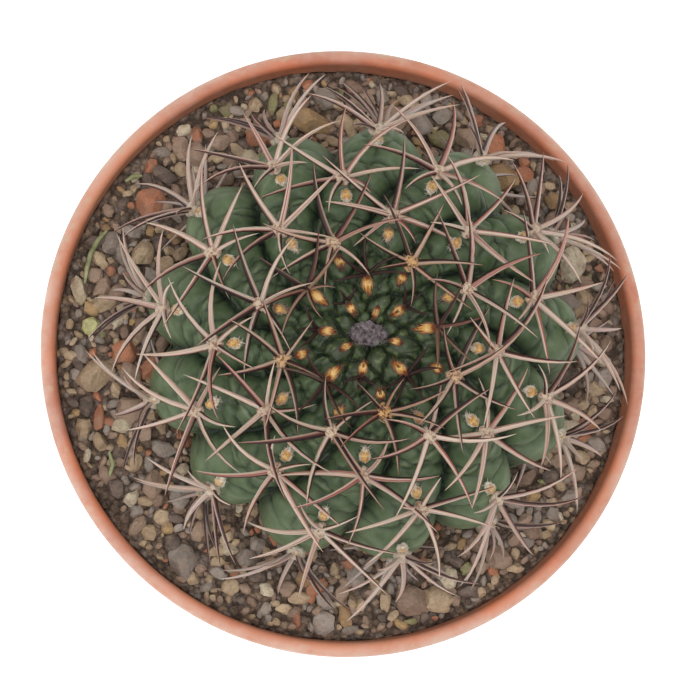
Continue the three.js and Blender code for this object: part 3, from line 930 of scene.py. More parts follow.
@dataclass
class Body:
    """The ribbed body with its tubercles, and the root that stands in the soil."""

    growth: Growth
    columns: int = 429
    rows: int = 218
    crowding: float = 0.5
    first_arc: float = 0.9
    groove_young: float = 1.1
    groove_old: float = 5.4
    groove_shape: float = 2.3
    groove_begins: Ages = (2, 20)
    groove_deepens: Ages = (4, 50)
    groove_ends: float = 62.0
    crest_lag: float = 0.25
    cells: tuple[int, int] = (-6, 106)
    cell_long: float = 1.1
    cell_wide: float = 0.92
    crease_depth: float = 1.15
    crease_width: float = 0.34
    crease_widening: float = 0.35
    crease_widens: Ages = (6, 40)
    crease_eases: Ages = (20, 46)
    crease_pales: Ages = (20, 50)
    crease_power: float = 1.25
    pillow: float = 0.7
    pillow_reach: float = 0.55
    pillow_most: float = 2.0
    pillow_eases: Ages = (14, 30)
    cells_end: Ages = (66, 80)
    bead_seed: int = 517
    beads: tuple[tuple[float, float], ...] = (
        (-0.27, 0.12), (0.27, 0.12), (0.0, 0.4), (-0.25, 0.62), (0.25, 0.66))
    bead_jitter: float = 1.0
    bead_crease: float = 0.6
    bead_reach: float = 2.6
    bead_dome: float = 0.4
    bead_most: float = 1.4
    beads_begin: Ages = (2, 12)
    beads_end: Ages = (40, 58)
    stray: float = 0.2
    stray_core: float = 2.0
    stray_along: tuple[tuple[float, ...], ...] = (
        (1.31, 0.57, 0.0, 0.4), (-1.02, 0.83, 0.35, 0.0), (2.1, 1.7, 0.0, 0.0))
    stray_aside: tuple[tuple[float, ...], ...] = (
        (-0.63, 1.17, 0.0, 1.9), (0.91, 0.88, -0.4, 0.0), (-1.5, 2.3, 0.0, 0.0))
    chin_depth: float = 1.7
    chin_crease: float = 0.75
    chin_crest: float = 0.72
    chin_begins: Ages = (8, 24)
    chin_ends: Ages = (56, 74)
    folds: tuple[tuple[float, float, float], ...] = ((0.88, 0.035, 1.0), (0.45, 0.03, 0.6))
    folds_begin: Ages = (16, 28)
    crown_cap: float = 3.0
    neck_rise: float = 0.4
    hollow: tuple[Ring, ...] = ((17.5, 0.5), (14.0, -0.6), (11.8, -2.4))
    root_radius: float = 11.0
    root_bottom: float = 68.3
    soil_top: float = 85.3
    lean_between: tuple[float, float] = (86.2, 88.8)

    def _cells(self, net: Net) -> Iterator[np.ndarray]:
        """Measures how far each point is from one tubercle after another.

        Args:
            net: The points.

        Yields:
            The distances, in shares of the tubercle's size.
        """
        growth = self.growth
        for number in range(*self.cells):
            lagged, turn = growth.beside(number, 0, self.crest_lag)
            centre = growth.arc_of(lagged) + growth.inner_pitch * min(lagged, 0)
            ring = growth.radius_at(centre)
            size = self._size(lagged, ring)
            across = turned(net.bearing, turn) * np.sqrt(net.radius * ring)
            yield np.hypot((net.arc - centre) / (size * self.cell_long), across / (size * self.cell_wide))

    def _beads(self, net: Net) -> Iterator[np.ndarray]:
        """Measures how far each point is from the smaller swellings that each tubercle is wrinkled into.

        Args:
            net: The points.

        Yields:
            The distances.
        """
        growth = self.growth
        draw = seeded_draws(self.bead_seed)
        for number in range(growth.areoles):
            for rib, step in self.beads:
                count, turn = growth.beside(number, rib, step)
                centre = growth.arc_of(count) + self.bead_jitter * (draw() - 0.5)
                turn += math.degrees(self.bead_jitter * (draw() - 0.5) / growth.radius_at(centre))
                yield np.hypot(net.arc - centre, turned(net.bearing, turn) * net.radius)

    def _size(self, number: Numbers, radius: Numbers) -> Numbers:
        """Width of a tubercle, from the room that each has on the skin."""
        step = self.growth.scale * self.growth.power * np.maximum(1.0, number) ** (self.growth.power - 1)
        return np.sqrt(2 * math.pi * np.maximum(radius, 1.0) * step)

    def _chin(self, net: Net) -> tuple[np.ndarray, np.ndarray]:
        """Shapes the fold under each areole: a slow rise to the chin and a quick fall to the next crease.

        Args:
            net: The points.

        Returns:
            The depth under the chin, and how near each point is to a fold's pale edge, 0 to 1.
        """
        growth, rib, number = self.growth, net.rib, net.number
        step = (number - growth.rib_to_rib * np.round(rib)) / growth.ribs
        share = (step - self.chin_crease) % 1.0
        rise = np.sin(math.pi / 2 * np.minimum(share / self.chin_crest, 1.0)) ** 0.9
        past = np.clip((share - self.chin_crest) / (1 - self.chin_crest), 0, 1)
        fall = np.cos(math.pi / 2 * past) ** 1.3
        width = 1 - (np.abs(rib - np.round(rib)) * 2) ** 2
        strength = smooth_step(*self.chin_begins, number) * (1 - 0.7 * smooth_step(*self.chin_ends, number))
        edges = sum(pale * np.exp(-(((share - place) / reach) ** 2)) for place, reach, pale in self.folds)
        fold = edges * width ** 1.5 * smooth_step(*self.folds_begin, number)
        return self.chin_depth * strength * (1 - rise * fall) * width, fold

    def _strayed(self, net: Net) -> Net:
        """Shifts points a little along and round the skin, so that the creases don't run too true.

        Args:
            net: The points.

        Returns:
            The shifted points.
        """
        x, y = (net.radius * wave(np.radians(net.bearing)) for wave in (np.cos, np.sin))
        along, aside = (sum(np.sin(by_x * x + by_y * y + by_arc * net.arc + start)
                            for by_x, by_y, by_arc, start in waves)
                        for waves in (self.stray_along, self.stray_aside))
        turn = self.stray * aside / np.maximum(net.radius, self.stray_core)
        return replace(net, arc=net.arc + self.stray * along, bearing=net.bearing + np.degrees(turn))

    def _relief(self, net: Net) -> tuple[np.ndarray, np.ndarray, np.ndarray]:
        """Shapes the ribs and the tubercles.

        Args:
            net: The points.

        Returns:
            How far the skin lies under the outline, how much painted shade its creases and grooves get, and
            how near a fold's edge.
        """
        number = net.number
        last = float(self.growth.number_of(np.array(self.growth.last_arc())))
        deeper = smooth_step(*self.groove_deepens, number)
        groove = self.groove_young + (self.groove_old - self.groove_young) * deeper
        groove *= 1 - 0.75 * smooth_step(self.groove_ends, last, number)
        groove *= smooth_step(*self.groove_begins, number)
        aside = np.abs(net.rib - np.round(net.rib)) * 2
        strayed = self._strayed(net)
        creased = self.crease_width + self.crease_widening * smooth_step(*self.crease_widens, number)
        ending = 1 - 0.8 * smooth_step(*self.cells_end, number)

        nearest, second = two_nearest(self._cells(strayed))
        gap = (second - nearest) * self._size(self.growth.number_of(strayed.arc), net.radius)
        line = np.exp(-(gap / creased) ** self.crease_power)
        crease = self.crease_depth * (1 - 0.5 * smooth_step(*self.crease_eases, number)) * ending
        pillow = self.pillow * (1 - 0.5 * smooth_step(*self.pillow_eases, number)) * ending
        dome = np.minimum(pillow * (nearest / self.pillow_reach) ** 2, self.pillow_most)

        nearest, second = two_nearest(self._beads(strayed))
        beaded = smooth_step(*self.beads_begin, number) * (1 - smooth_step(*self.beads_end, number))
        wrinkle = np.exp(-((second - nearest) / creased) ** self.crease_power) * beaded
        bead = self.bead_dome * np.minimum((nearest / self.bead_reach) ** 2, self.bead_most) * beaded

        chin, fold = self._chin(net)
        depth = groove * aside ** self.groove_shape + crease * line + dome + chin
        depth += self.bead_crease * wrinkle + bead
        # painted shade: darkness laid along the creases, the rib valleys and the wrinkles between beads
        dark = 0.85 * line * (1 - 0.4 * smooth_step(*self.crease_pales, number))
        dark += 0.75 * aside ** 7 + 0.6 * wrinkle
        return depth, np.clip(dark, 0, 1), fold

    def build(self) -> Piece:
        """Shapes a sheet into the body, closes its crown, and draws its underside in to the root.

        Returns:
            The body.
        """
        growth = self.growth
        piece = added(bpy.ops.mesh.primitive_grid_add, "cactus_body",
                      x_subdivisions=self.columns, y_subdivisions=self.rows, size=1)
        mesh = piece.data
        across, inward, _ = (points_of(mesh) + 0.5).T
        rib = across * growth.ribs
        outward = 1 - inward
        spread = (outward + self.crowding * outward ** 2) / (1 + self.crowding)
        arc = self.first_arc + spread * (growth.last_arc() - self.first_arc)
        number = growth.number_of(arc)
        _, bearing = growth.beside(0, rib, (number - growth.rib_to_rib * rib) / growth.ribs)
        radius = growth.radius_at(arc)
        height = np.interp(arc, growth.arcs, growth.heights)
        run = np.interp(arc, growth.arcs, np.gradient(growth.radii, growth.arcs))
        fall = np.interp(arc, growth.arcs, np.gradient(growth.heights, growth.arcs))
        dip = growth.crown_dip * np.exp(-((radius / growth.crown_dip_radius) ** 2))
        depth, dark, fold = self._relief(Net(rib, number, arc, bearing, radius))
        out = radius + fall * depth
        points = np.stack([out * np.cos(np.radians(bearing)), out * np.sin(np.radians(bearing)),
                           height - dip - run * depth], axis=1)
        mesh.vertices.foreach_set("co", (points * MM).ravel())
        # groove holds the painted shade of the creases and rib valleys
        store(mesh, groove=dark, fold=fold, age=smooth_step(0, 60, number))
        self._close(piece)
        upright = points_of(mesh) / MM
        share = smooth_step(*self.lean_between, upright[:, 2])[:, None]
        leant = upright * (1 - share) + growth.leant(upright) * share
        mesh.vertices.foreach_set("co", (leant * MM).ravel())
        bpy.ops.object.shade_smooth()
        return piece

    def _close(self, piece: Piece) -> None:
        """Joins the sheet's two sides, caps the crown and extrudes the root out of the underside.

        Args:
            piece: The sheet.
        """
        growth = self.growth
        under = growth.equator - growth.under_drop
        crown_height = (growth.equator + growth.crown_rise - self.crown_cap) * MM
        rings = [(radius, under + rise) for radius, rise in self.hollow]
        rings += [(self.root_radius, self.soil_top + 1), (self.root_radius, self.soil_top - 3),
                  (self.root_radius - 0.5, 72), (self.root_radius - 3, self.root_bottom)]
        with editing(piece):
            bpy.ops.mesh.remove_doubles(threshold=0.00001)
            for above in (True, False):
                sheet = bmesh.from_edit_mesh(piece.data)
                bpy.ops.mesh.select_all(action="DESELECT")
                for edge in sheet.edges:
                    edge.select = edge.is_boundary and (edge.verts[0].co.z > crown_height) == above
                if not above:
                    draw_up(rings, growth.neck_radius, under + self.neck_rise)
                bpy.ops.mesh.edge_face_add()
                if above:
                    bpy.ops.mesh.poke()


# -------- the spines


@dataclass
class Spine:
    """One spine: its areole, its nominal bearing, and its middle line's root, heading and length."""

    number: int
    bearing: float
    root: Vector
    heading: Vector
    length: float
    sway: float
    at: Spot
    bow: float = 0.17
    arch: float = 0.12

    def middle(self, share: float) -> Vector:
        """A point on its middle line, which arches up, then bends back to the skin and a little aside."""
        across = self.at.normal.cross(self.heading).normalized()
        between = share * (1 - share)
        bend = self.at.normal * (self.arch * between - self.bow * share * share)
        bend = bend + across * (self.sway * (share * share - 2 * between))
        return self.root + (self.heading * share + bend) * self.length

    def line(self) -> list[Vector]:
        """Its root, its middle and its tip."""
        return [self.middle(0.0), self.middle(0.5), self.middle(1.0)]


def stretch_gap(a0: Vector, a1: Vector, b0: Vector, b1: Vector) -> float:
    """Least distance between two straight stretches."""
    a, b, between = a1 - a0, b1 - b0, a0 - b0
    aa, ab, bb = a.dot(a), a.dot(b), b.dot(b)
    da, db = a.dot(between), b.dot(between)
    spread = aa * bb - ab * ab
    on_a = min(1.0, max(0.0, (ab * db - bb * da) / spread)) if spread > 1e-9 else 0.0
    on_b = min(1.0, max(0.0, (ab * on_a + db) / bb))
    on_a = min(1.0, max(0.0, (ab * on_b - da) / aa))
    return (between + a * on_a - b * on_b).length


@dataclass
class Spines:
    """All spines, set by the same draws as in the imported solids, each as a fine curved horn."""

    pot: "Pot"
    kinds: tuple[tuple[float, float], ...] = (
        (0, 14.5), (61, 16.5), (-61, 16.5), (98, 15.5), (-98, 15.5), (143, 10), (-143, 10))
    counts: tuple[tuple[int, int], ...] = ((3, 0), (7, 3), (11, 5), (65, 7))
    old_count: int = 3
    seed: int = 412
    grown_at: int = 18
    elevation_top: float = 24.0
    elevation_side: float = 44.0
    elevation_young: float = 18.0
    steeper: Ages = (28, 56)
    bearing_spread: float = 16.0
    elevation_spread: float = 14.0
    looser_by: float = 3.0
    young_length: float = 0.12
    least: float = 0.88
    spread: float = 0.24
    sway: float = 0.09
    apart: float = 1.0
    far_apart: float = 44.0
    pad_radius: float = 1.2
    pad_rise: float = 0.85
    soil_top: float = 85.3
    over_soil: float = 4.0
    over_rim: float = 1.2
    off_wall: float = 1.4
    tries: int = 14
    lifts: int = 9
    lift: float = 0.11
    shorter: float = 0.95
    root_width: float = 0.6
    young_width: float = 0.52
    low_width: float = 0.8
    low_bearing: float = 120.0
    twist: float = 1.2
    sunk: float = 0.03
    flatness: float = 0.84
    facets: int = 7
    horn_rings: tuple[Ring, ...] = (
        (1.16, 0.04), (1.02, 0.12), (0.9, 0.28), (0.78, 0.45), (0.66, 0.6), (0.5, 0.75), (0.31, 0.88),
        (0.14, 0.96), (0.02, 1.0))

    def _strikes(self, spine: Spine) -> bool:
        """True where a spine would run into the pot or the soil."""
        return any(point.z < self.soil_top + self.over_soil
                   or (point.z < self.pot.height + self.over_rim
                       and math.hypot(point.x, point.y) > self.pot.inside(point.z) - self.off_wall)
                   for point in spine.line()[1:])

    def _crosses(self, spine: Spine, others: Sequence[Spine]) -> bool:
        """True where a spine would come too near one of another areole."""
        line = spine.line()
        for other in others:
            if other.number != spine.number and (other.root - spine.root).length <= self.far_apart:
                near = other.line()
                if any(stretch_gap(line[k], line[k + 1], near[m], near[m + 1]) < self.apart
                       for k in (0, 1) for m in (0, 1)):
                    return True
        return False

    def _count(self, number: int) -> int:
        """How many spines an areole has."""
        return next((count for until, count in self.counts if number < until), self.old_count)

    def _drawn(self, number: int, at: Spot, kind: tuple[float, float], looser: int, draw: Draw) -> Spine:
        """Draws one spine, and lifts it clear of the pot and the soil.

        Args:
            number: Its areole's number.
            at: Where it stands.
            kind: Its nominal bearing and length.
            looser: How many tries went before, which gives its lie more play.
            draw: The random draws.

        Returns:
            The spine.
        """
        bearing, length = kind
        grown = float(smooth_step(0, self.grown_at, number))
        steeper = float(smooth_step(*self.steeper, number))
        elevation = self.elevation_top + (self.elevation_side - self.elevation_top) * steeper
        elevation += self.elevation_young * (1 - grown)
        around = math.radians(bearing + (draw() - 0.5) * self.bearing_spread)
        up = math.radians(elevation + (draw() - 0.5) * (self.elevation_spread + self.looser_by * looser))
        length = length * (self.young_length + (1 - self.young_length) * grown)
        length = length * (self.least + self.spread * draw())
        sway = self.sway * (2 * draw() - 1)
        outward = at.along * math.cos(around) + at.across * math.sin(around)
        root = at.point + outward * (self.pad_radius / 2) + at.normal * (self.pad_rise / 2)
        heading = outward * math.cos(up) + at.normal * math.sin(up)
        spine = Spine(number, bearing, root, heading, length, sway, at)
        for _ in range(self.lifts):
            if not self._strikes(spine):
                break
            spine.heading.z += self.lift
            spine.heading.normalize()
            spine.length *= self.shorter
        return spine

    def grow(self, areoles: Sequence[Areole]) -> list[Spine]:
        """Draws all spines, each again until it is clear of the pot, the soil and other areoles' spines.

        Args:
            areoles: The areoles.

        Returns:
            The spines.
        """
        draw = seeded_draws(self.seed)
        found: list[Spine] = []
        for areole in areoles:
            for kind in self.kinds[:self._count(areole.number)]:
                for attempt in range(self.tries):
                    spine = self._drawn(areole.number, areole.root, kind, attempt, draw)
                    if not self._strikes(spine) and not self._crosses(spine, found):
                        break
                if not self._strikes(spine):
                    found.append(spine)
        return found

    def _horn(self) -> Shape:
        """Models one straight spine, 1 long and 1 in radius at its root, with its UV along and around.

        Returns:
            The shape.
        """
        horn = added(bpy.ops.mesh.primitive_circle_add, "horn", vertices=self.facets, radius=1.0,
                     fill_type="NGON")
        with editing(horn):
            draw_up(self.horn_rings, 1.0, 0.0, unit=1.0)
        mesh = horn.data
        layer = mesh.uv_layers.new(name="UVMap")
        for loop in mesh.loops:
            corner = mesh.vertices[loop.vertex_index].co
            around = 0.5 + 0.5 * corner.y / max(math.hypot(corner.x, corner.y), 1e-6)
            layer.data[loop.index].uv = (corner.z, around)
        return Shape.of(horn)

    @staticmethod
    def _bent(spine: Spine, along: np.ndarray, sideways: np.ndarray, upward: np.ndarray) -> np.ndarray:
        """Bends straight points along a spine's middle line, square to it all the way.

        Args:
            spine: The spine.
            along: How far along the line each point is, 0 at the root and 1 at the tip.
            sideways: How far aside of the line it is.
            upward: How far above the line it is.

        Returns:
            The points in their place.
        """
        normal, heading = np.array(spine.at.normal), np.array(spine.heading)
        across = np.cross(normal, heading)
        across /= np.linalg.norm(across)
        between = along * (1 - along)
        middle = (np.array(spine.root) + spine.length * (
            np.outer(along, heading) + np.outer(spine.arch * between - spine.bow * along ** 2, normal)
            + np.outer(spine.sway * (along ** 2 - 2 * between), across)))
        run = (heading + np.outer(spine.arch * (1 - 2 * along) - 2 * spine.bow * along, normal)
               + np.outer(spine.sway * (6 * along - 2), across))
        run /= np.linalg.norm(run, axis=1)[:, None]
        upper = np.cross(run, across)
        upper /= np.linalg.norm(upper, axis=1)[:, None]
        return middle + sideways[:, None] * np.cross(upper, run) + upward[:, None] * upper

    def build(self, spines: Sequence[Spine]) -> Piece:
        """Bends a copy of the horn along each spine's middle line.

        Args:
            spines: The spines.

        Returns:
            All of them as one piece.
        """
        horn = self._horn()
        x, y, z = horn.corners.T
        draw = seeded_draws(self.seed + 7)
        copies = Copies("spines")
        for spine in spines:
            grown = float(smooth_step(0, self.grown_at, spine.number))
            width = self.root_width * (self.young_width + (1 - self.young_width) * grown)
            width *= self.least + self.spread * draw()
            width *= self.low_width if abs(spine.bearing) > self.low_bearing else 1.0
            over, up = on_circle(width, self.twist * (draw() - 0.5))
            placed = self._bent(spine, z * (1 + self.sunk) - self.sunk, x * over - y * up,
                                (x * up + y * over) * self.flatness)
            copies.add(horn, placed, age=float(smooth_step(6, 60, spine.number)), shade=draw())
        return copies.build(60.0)


# -------- areole felt


@dataclass(frozen=True)
class Cushion:
    """One lump of felt: its middle, its half sizes along, across and up, and what it stands for."""

    middle: Vector
    spot: Spot
    reach: float
    wide: float
    high: float
    seat: float
    hairs: int


@dataclass(frozen=True)
class Hair:
    """A thin needle, 1 long, with 3 sides and a joint half way, and how it is laid."""

    shape: Shape

    @classmethod
    def modelled(cls) -> "Hair":
        """Models the needle.

        Returns:
            The hair.
        """
        needle = added(bpy.ops.mesh.primitive_cone_add, "hair", vertices=3, radius1=1.0, radius2=0.15,
                       depth=1.0, location=(0, 0, 0.5), end_fill_type="TRIFAN")
        settle(needle)
        with editing(needle):
            bpy.ops.mesh.bisect(plane_co=(0, 0, 0.5), plane_no=(0, 0, 1))
        return cls(Shape.of(needle))

    def laid(self, root: Vector, heading: Vector, across: Vector, length: float, width: float,
             bend: Vector) -> np.ndarray:
        """Lays the hair.

        Args:
            root: Where it starts.
            heading: Which way it goes.
            across: A direction square to that.
            length: Its length.
            width: Its half width at the root.
            bend: How far its tip is bent aside, in shares of its length.

        Returns:
            Its corners in their place.
        """
        x, y, z = self.shape.corners.T
        return (np.array(root) + np.outer(z * length, heading) + np.outer(x * width, across)
                + np.outer(y * width, across.cross(heading)) + np.outer(z ** 2 * length, bend))


@dataclass
class AreoleFelt:
    """The felt of the areoles: golden buds on the young ones, a pad and a seat for the spines later."""

    bud_until: int = 12
    bud_sizes: tuple[float, float, float] = (0.58, 1.15, 1.05)
    bud_grows: Ages = (-2, 9)
    bud_young: float = 0.55
    bud_hairs: int = 34
    half_width: float = 1.08
    half_length: float = 1.6
    half_height: float = 0.85
    pad_hairs: int = 60
    seat_radius: float = 1.8
    seat_height: float = 1.45
    seat_hairs: int = 30
    point_taper: float = 0.62
    taper_power: float = 1.3
    blunt_taper: float = 0.25
    lumps: float = 0.34
    sway: float = 0.3
    droop: float = 0.35
    tail_hairs: float = 1.5
    seed: int = 733

    def _core(self) -> Shape:
        """Models a teardrop, 1 long each way, drawn out to a point at its far end.

        Returns:
            The shape.
        """
        core = added(bpy.ops.mesh.primitive_uv_sphere_add, "felt_core", segments=14, ring_count=9, radius=1.0)
        for vertex in core.data.vertices:
            taper = self._taper(vertex.co.x) - self.blunt_taper * max(0.0, -vertex.co.x) ** 2
            vertex.co.y *= taper
            vertex.co.z *= taper
        layer = core.data.uv_layers[0]
        for loop in core.data.loops:
            corner = core.data.vertices[loop.vertex_index].co
            rim = min(1.0, corner.y ** 2 + max(0.0, 0.35 - corner.z) * 0.9)
            layer.data[loop.index].uv = (0.5 + 0.5 * corner.x, rim)
        return Shape.of(core)

    def _taper(self, lengthways: float) -> float:
        """How wide the teardrop still is towards its point."""
        return 1.0 - self.point_taper * max(0.0, lengthways) ** self.taper_power

    def _cushions(self, areole: Areole) -> list[Cushion]:
        """Sets out the lumps of one areole, by its age.

        Args:
            areole: The areole.

        Returns:
            A bud, or a pad and a seat.
        """
        inner, wool, outer = areole.point.point, areole.wool, areole.root
        if areole.number < self.bud_until:
            size = self.bud_young + (1 - self.bud_young) * float(smooth_step(*self.bud_grows, areole.number))
            middle = inner.lerp(outer.point, 0.5) + wool.normal * 0.3 * size
            reach, wide, high = self.bud_sizes
            reach *= (outer.point - inner).length
            return [Cushion(middle, wool, reach, wide * size, high * size, 0.0, self.bud_hairs)]
        grown = areole.stretch
        pad = wool.off(0.2, along=-0.1 * self.half_length * grown)
        return [Cushion(pad, wool, self.half_length * grown, self.half_width * grown,
                        self.half_height * grown, 0.0, self.pad_hairs),
                Cushion(outer.off(0.2), outer, self.seat_radius, self.seat_radius, self.seat_height, 1.0,
                        self.seat_hairs)]

    def build(self, areoles: Sequence[Areole]) -> Piece:
        """Sets the felt and its hairs on every areole.

        Args:
            areoles: The areoles.

        Returns:
            All felt as one piece.
        """
        core, hair = self._core(), Hair.modelled()
        draw = seeded_draws(self.seed)
        copies = Copies("areole_felt")
        for areole in areoles:
            age = float(smooth_step(6, 60, areole.number))
            for cushion in self._cushions(areole):
                sway = (draw() - 0.5) * self.sway
                ripple = [noise.noise(Vector(corner) * 2.0 + Vector((areole.number, 0, 0)))
                          for corner in core.corners]
                x, y, z = (core.corners * (1 + self.lumps * np.array(ripple)[:, None])).T
                placed = (np.array(cushion.middle) - np.outer(x * cushion.reach, cushion.spot.along)
                          + np.outer(y * cushion.wide + sway * x, cushion.spot.across)
                          + np.outer(z * cushion.high, cushion.spot.normal))
                copies.add(core, placed, age=age, seat=cushion.seat, shade=0.4 * draw())
                for _ in range(cushion.hairs):
                    self._set_hair(copies, hair, cushion, age, draw)
        return copies.build()

    def _set_hair(self, copies: Copies, hair: Hair, cushion: Cushion, age: float, draw: Draw) -> None:
        """Sets one hair on a lump of felt, leaning towards the crown.

        Args:
            copies: What it is added to.
            hair: The modelled hair.
            cushion: The lump.
            age: The age stored on it.
            draw: The random draws.
        """
        spot = cushion.spot
        lengthways, around = 2 * draw() - 1, (draw() - 0.5) * 2.8
        ring = math.sqrt(max(0.0, 1 - lengthways ** 2)) * self._taper(lengthways)
        lift, side = on_circle(ring, around)
        root = (cushion.middle - spot.along * (lengthways * cushion.reach)
                + spot.across * side * cushion.wide * 0.9 + spot.normal * lift * cushion.high * 0.9)
        crownward = 0.25 + 0.8 * draw() if cushion.seat < 0.5 else 1.6 * (draw() - 0.5)
        lean = -spot.along * crownward + spot.across * (math.sin(around) * 0.8 + 0.6 * (draw() - 0.5))
        heading = (lean + spot.normal * (0.3 + 0.5 * draw())).normalized()
        length = (0.35 + 0.45 * draw()) * (0.5 + 0.5 * cushion.wide)
        if cushion.seat < 0.5 and lengthways > 0.5:
            length *= self.tail_hairs
        placed = hair.laid(root, heading, heading.cross(spot.normal).normalized(), length,
                           0.05 + 0.03 * draw(), spot.normal * -self.droop)
        uv = (0.5 + 0.5 * lengthways, abs(math.sin(around)) * 0.8)
        marked = Shape(hair.shape.corners, hair.shape.faces, np.tile(uv, (len(hair.shape.uv), 1)))
        copies.add(marked, placed, age=age, seat=cushion.seat, shade=0.4 * draw())


@dataclass
class CrownTuft:
    """The grey tuft on the crown: a lumpy core under curled, matted hairs."""

    half_sizes: tuple[float, float, float] = (3.5, 2.1, 1.25)
    sunk: float = 0.45
    turn: float = -8.0
    core: float = 0.86
    knots: int = 60
    knot_reach: float = 0.82
    ripple: float = 0.3
    hairs: int = 260
    hair_width: float = 0.06
    seed: int = 91

    def build(self, growth: Growth) -> Piece:
        """Makes the core, sinks many small knots into it, and sets hairs all over.

        Args:
            growth: The plant's outline, whose crown it sits on.

        Returns:
            The tuft.
        """
        knot = Shape.of(added(bpy.ops.mesh.primitive_ico_sphere_add, "knot", subdivisions=3, radius=1.0))
        hair = Hair.modelled()
        size = np.array(self.half_sizes)
        crown = growth.spot(0.0, 0.0).off(self.half_sizes[2] * self.sunk)
        turn = growth.lean.to_3x3() @ Matrix.Rotation(math.radians(self.turn), 3, "Z")
        draw = seeded_draws(self.seed)
        copies = Copies("crown_tuft")
        for index in range(self.knots + 1):
            share, bearing = math.sqrt(draw()) * self.knot_reach, 2 * math.pi * draw()
            lift, small = 0.25 + 0.5 * draw(), (0.26 + 0.2 * draw()) * 2.1
            centre = size * (*on_circle(share, bearing), lift * math.sqrt(max(0.0, 1 - share ** 2)))
            ripple = np.array([noise.noise(Vector(corner) * 2.2 + Vector((index, 0, 0)))
                               for corner in knot.corners])
            lump = knot.corners * (1 + self.ripple * ripple)[:, None]
            lump = lump * small + centre if index else lump * size * self.core
            copies.add(knot, lump @ np.array(turn).T + np.array(crown), shade=draw(), age=0.0)
        for _ in range(self.hairs):
            share, bearing = math.sqrt(draw()), 2 * math.pi * draw()
            out = Vector((*on_circle(share, bearing), math.sqrt(max(0.0, 1 - share ** 2)) + 0.05))
            root = crown + turn @ Vector(size * out * (1, 1, 0.95))
            stray = Vector((draw() - 0.5, draw() - 0.5, draw() - 0.3)) * 1.3
            heading = (turn @ (out + stray)).normalized()
            across = heading.orthogonal().normalized()
            length, curl = 0.5 + 0.9 * draw(), (draw() - 0.5) * 1.6
            placed = hair.laid(root, heading, across, length, self.hair_width, across * curl)
            copies.add(hair.shape, placed, shade=draw(), age=0.0)
        return copies.build()


# -------- pot


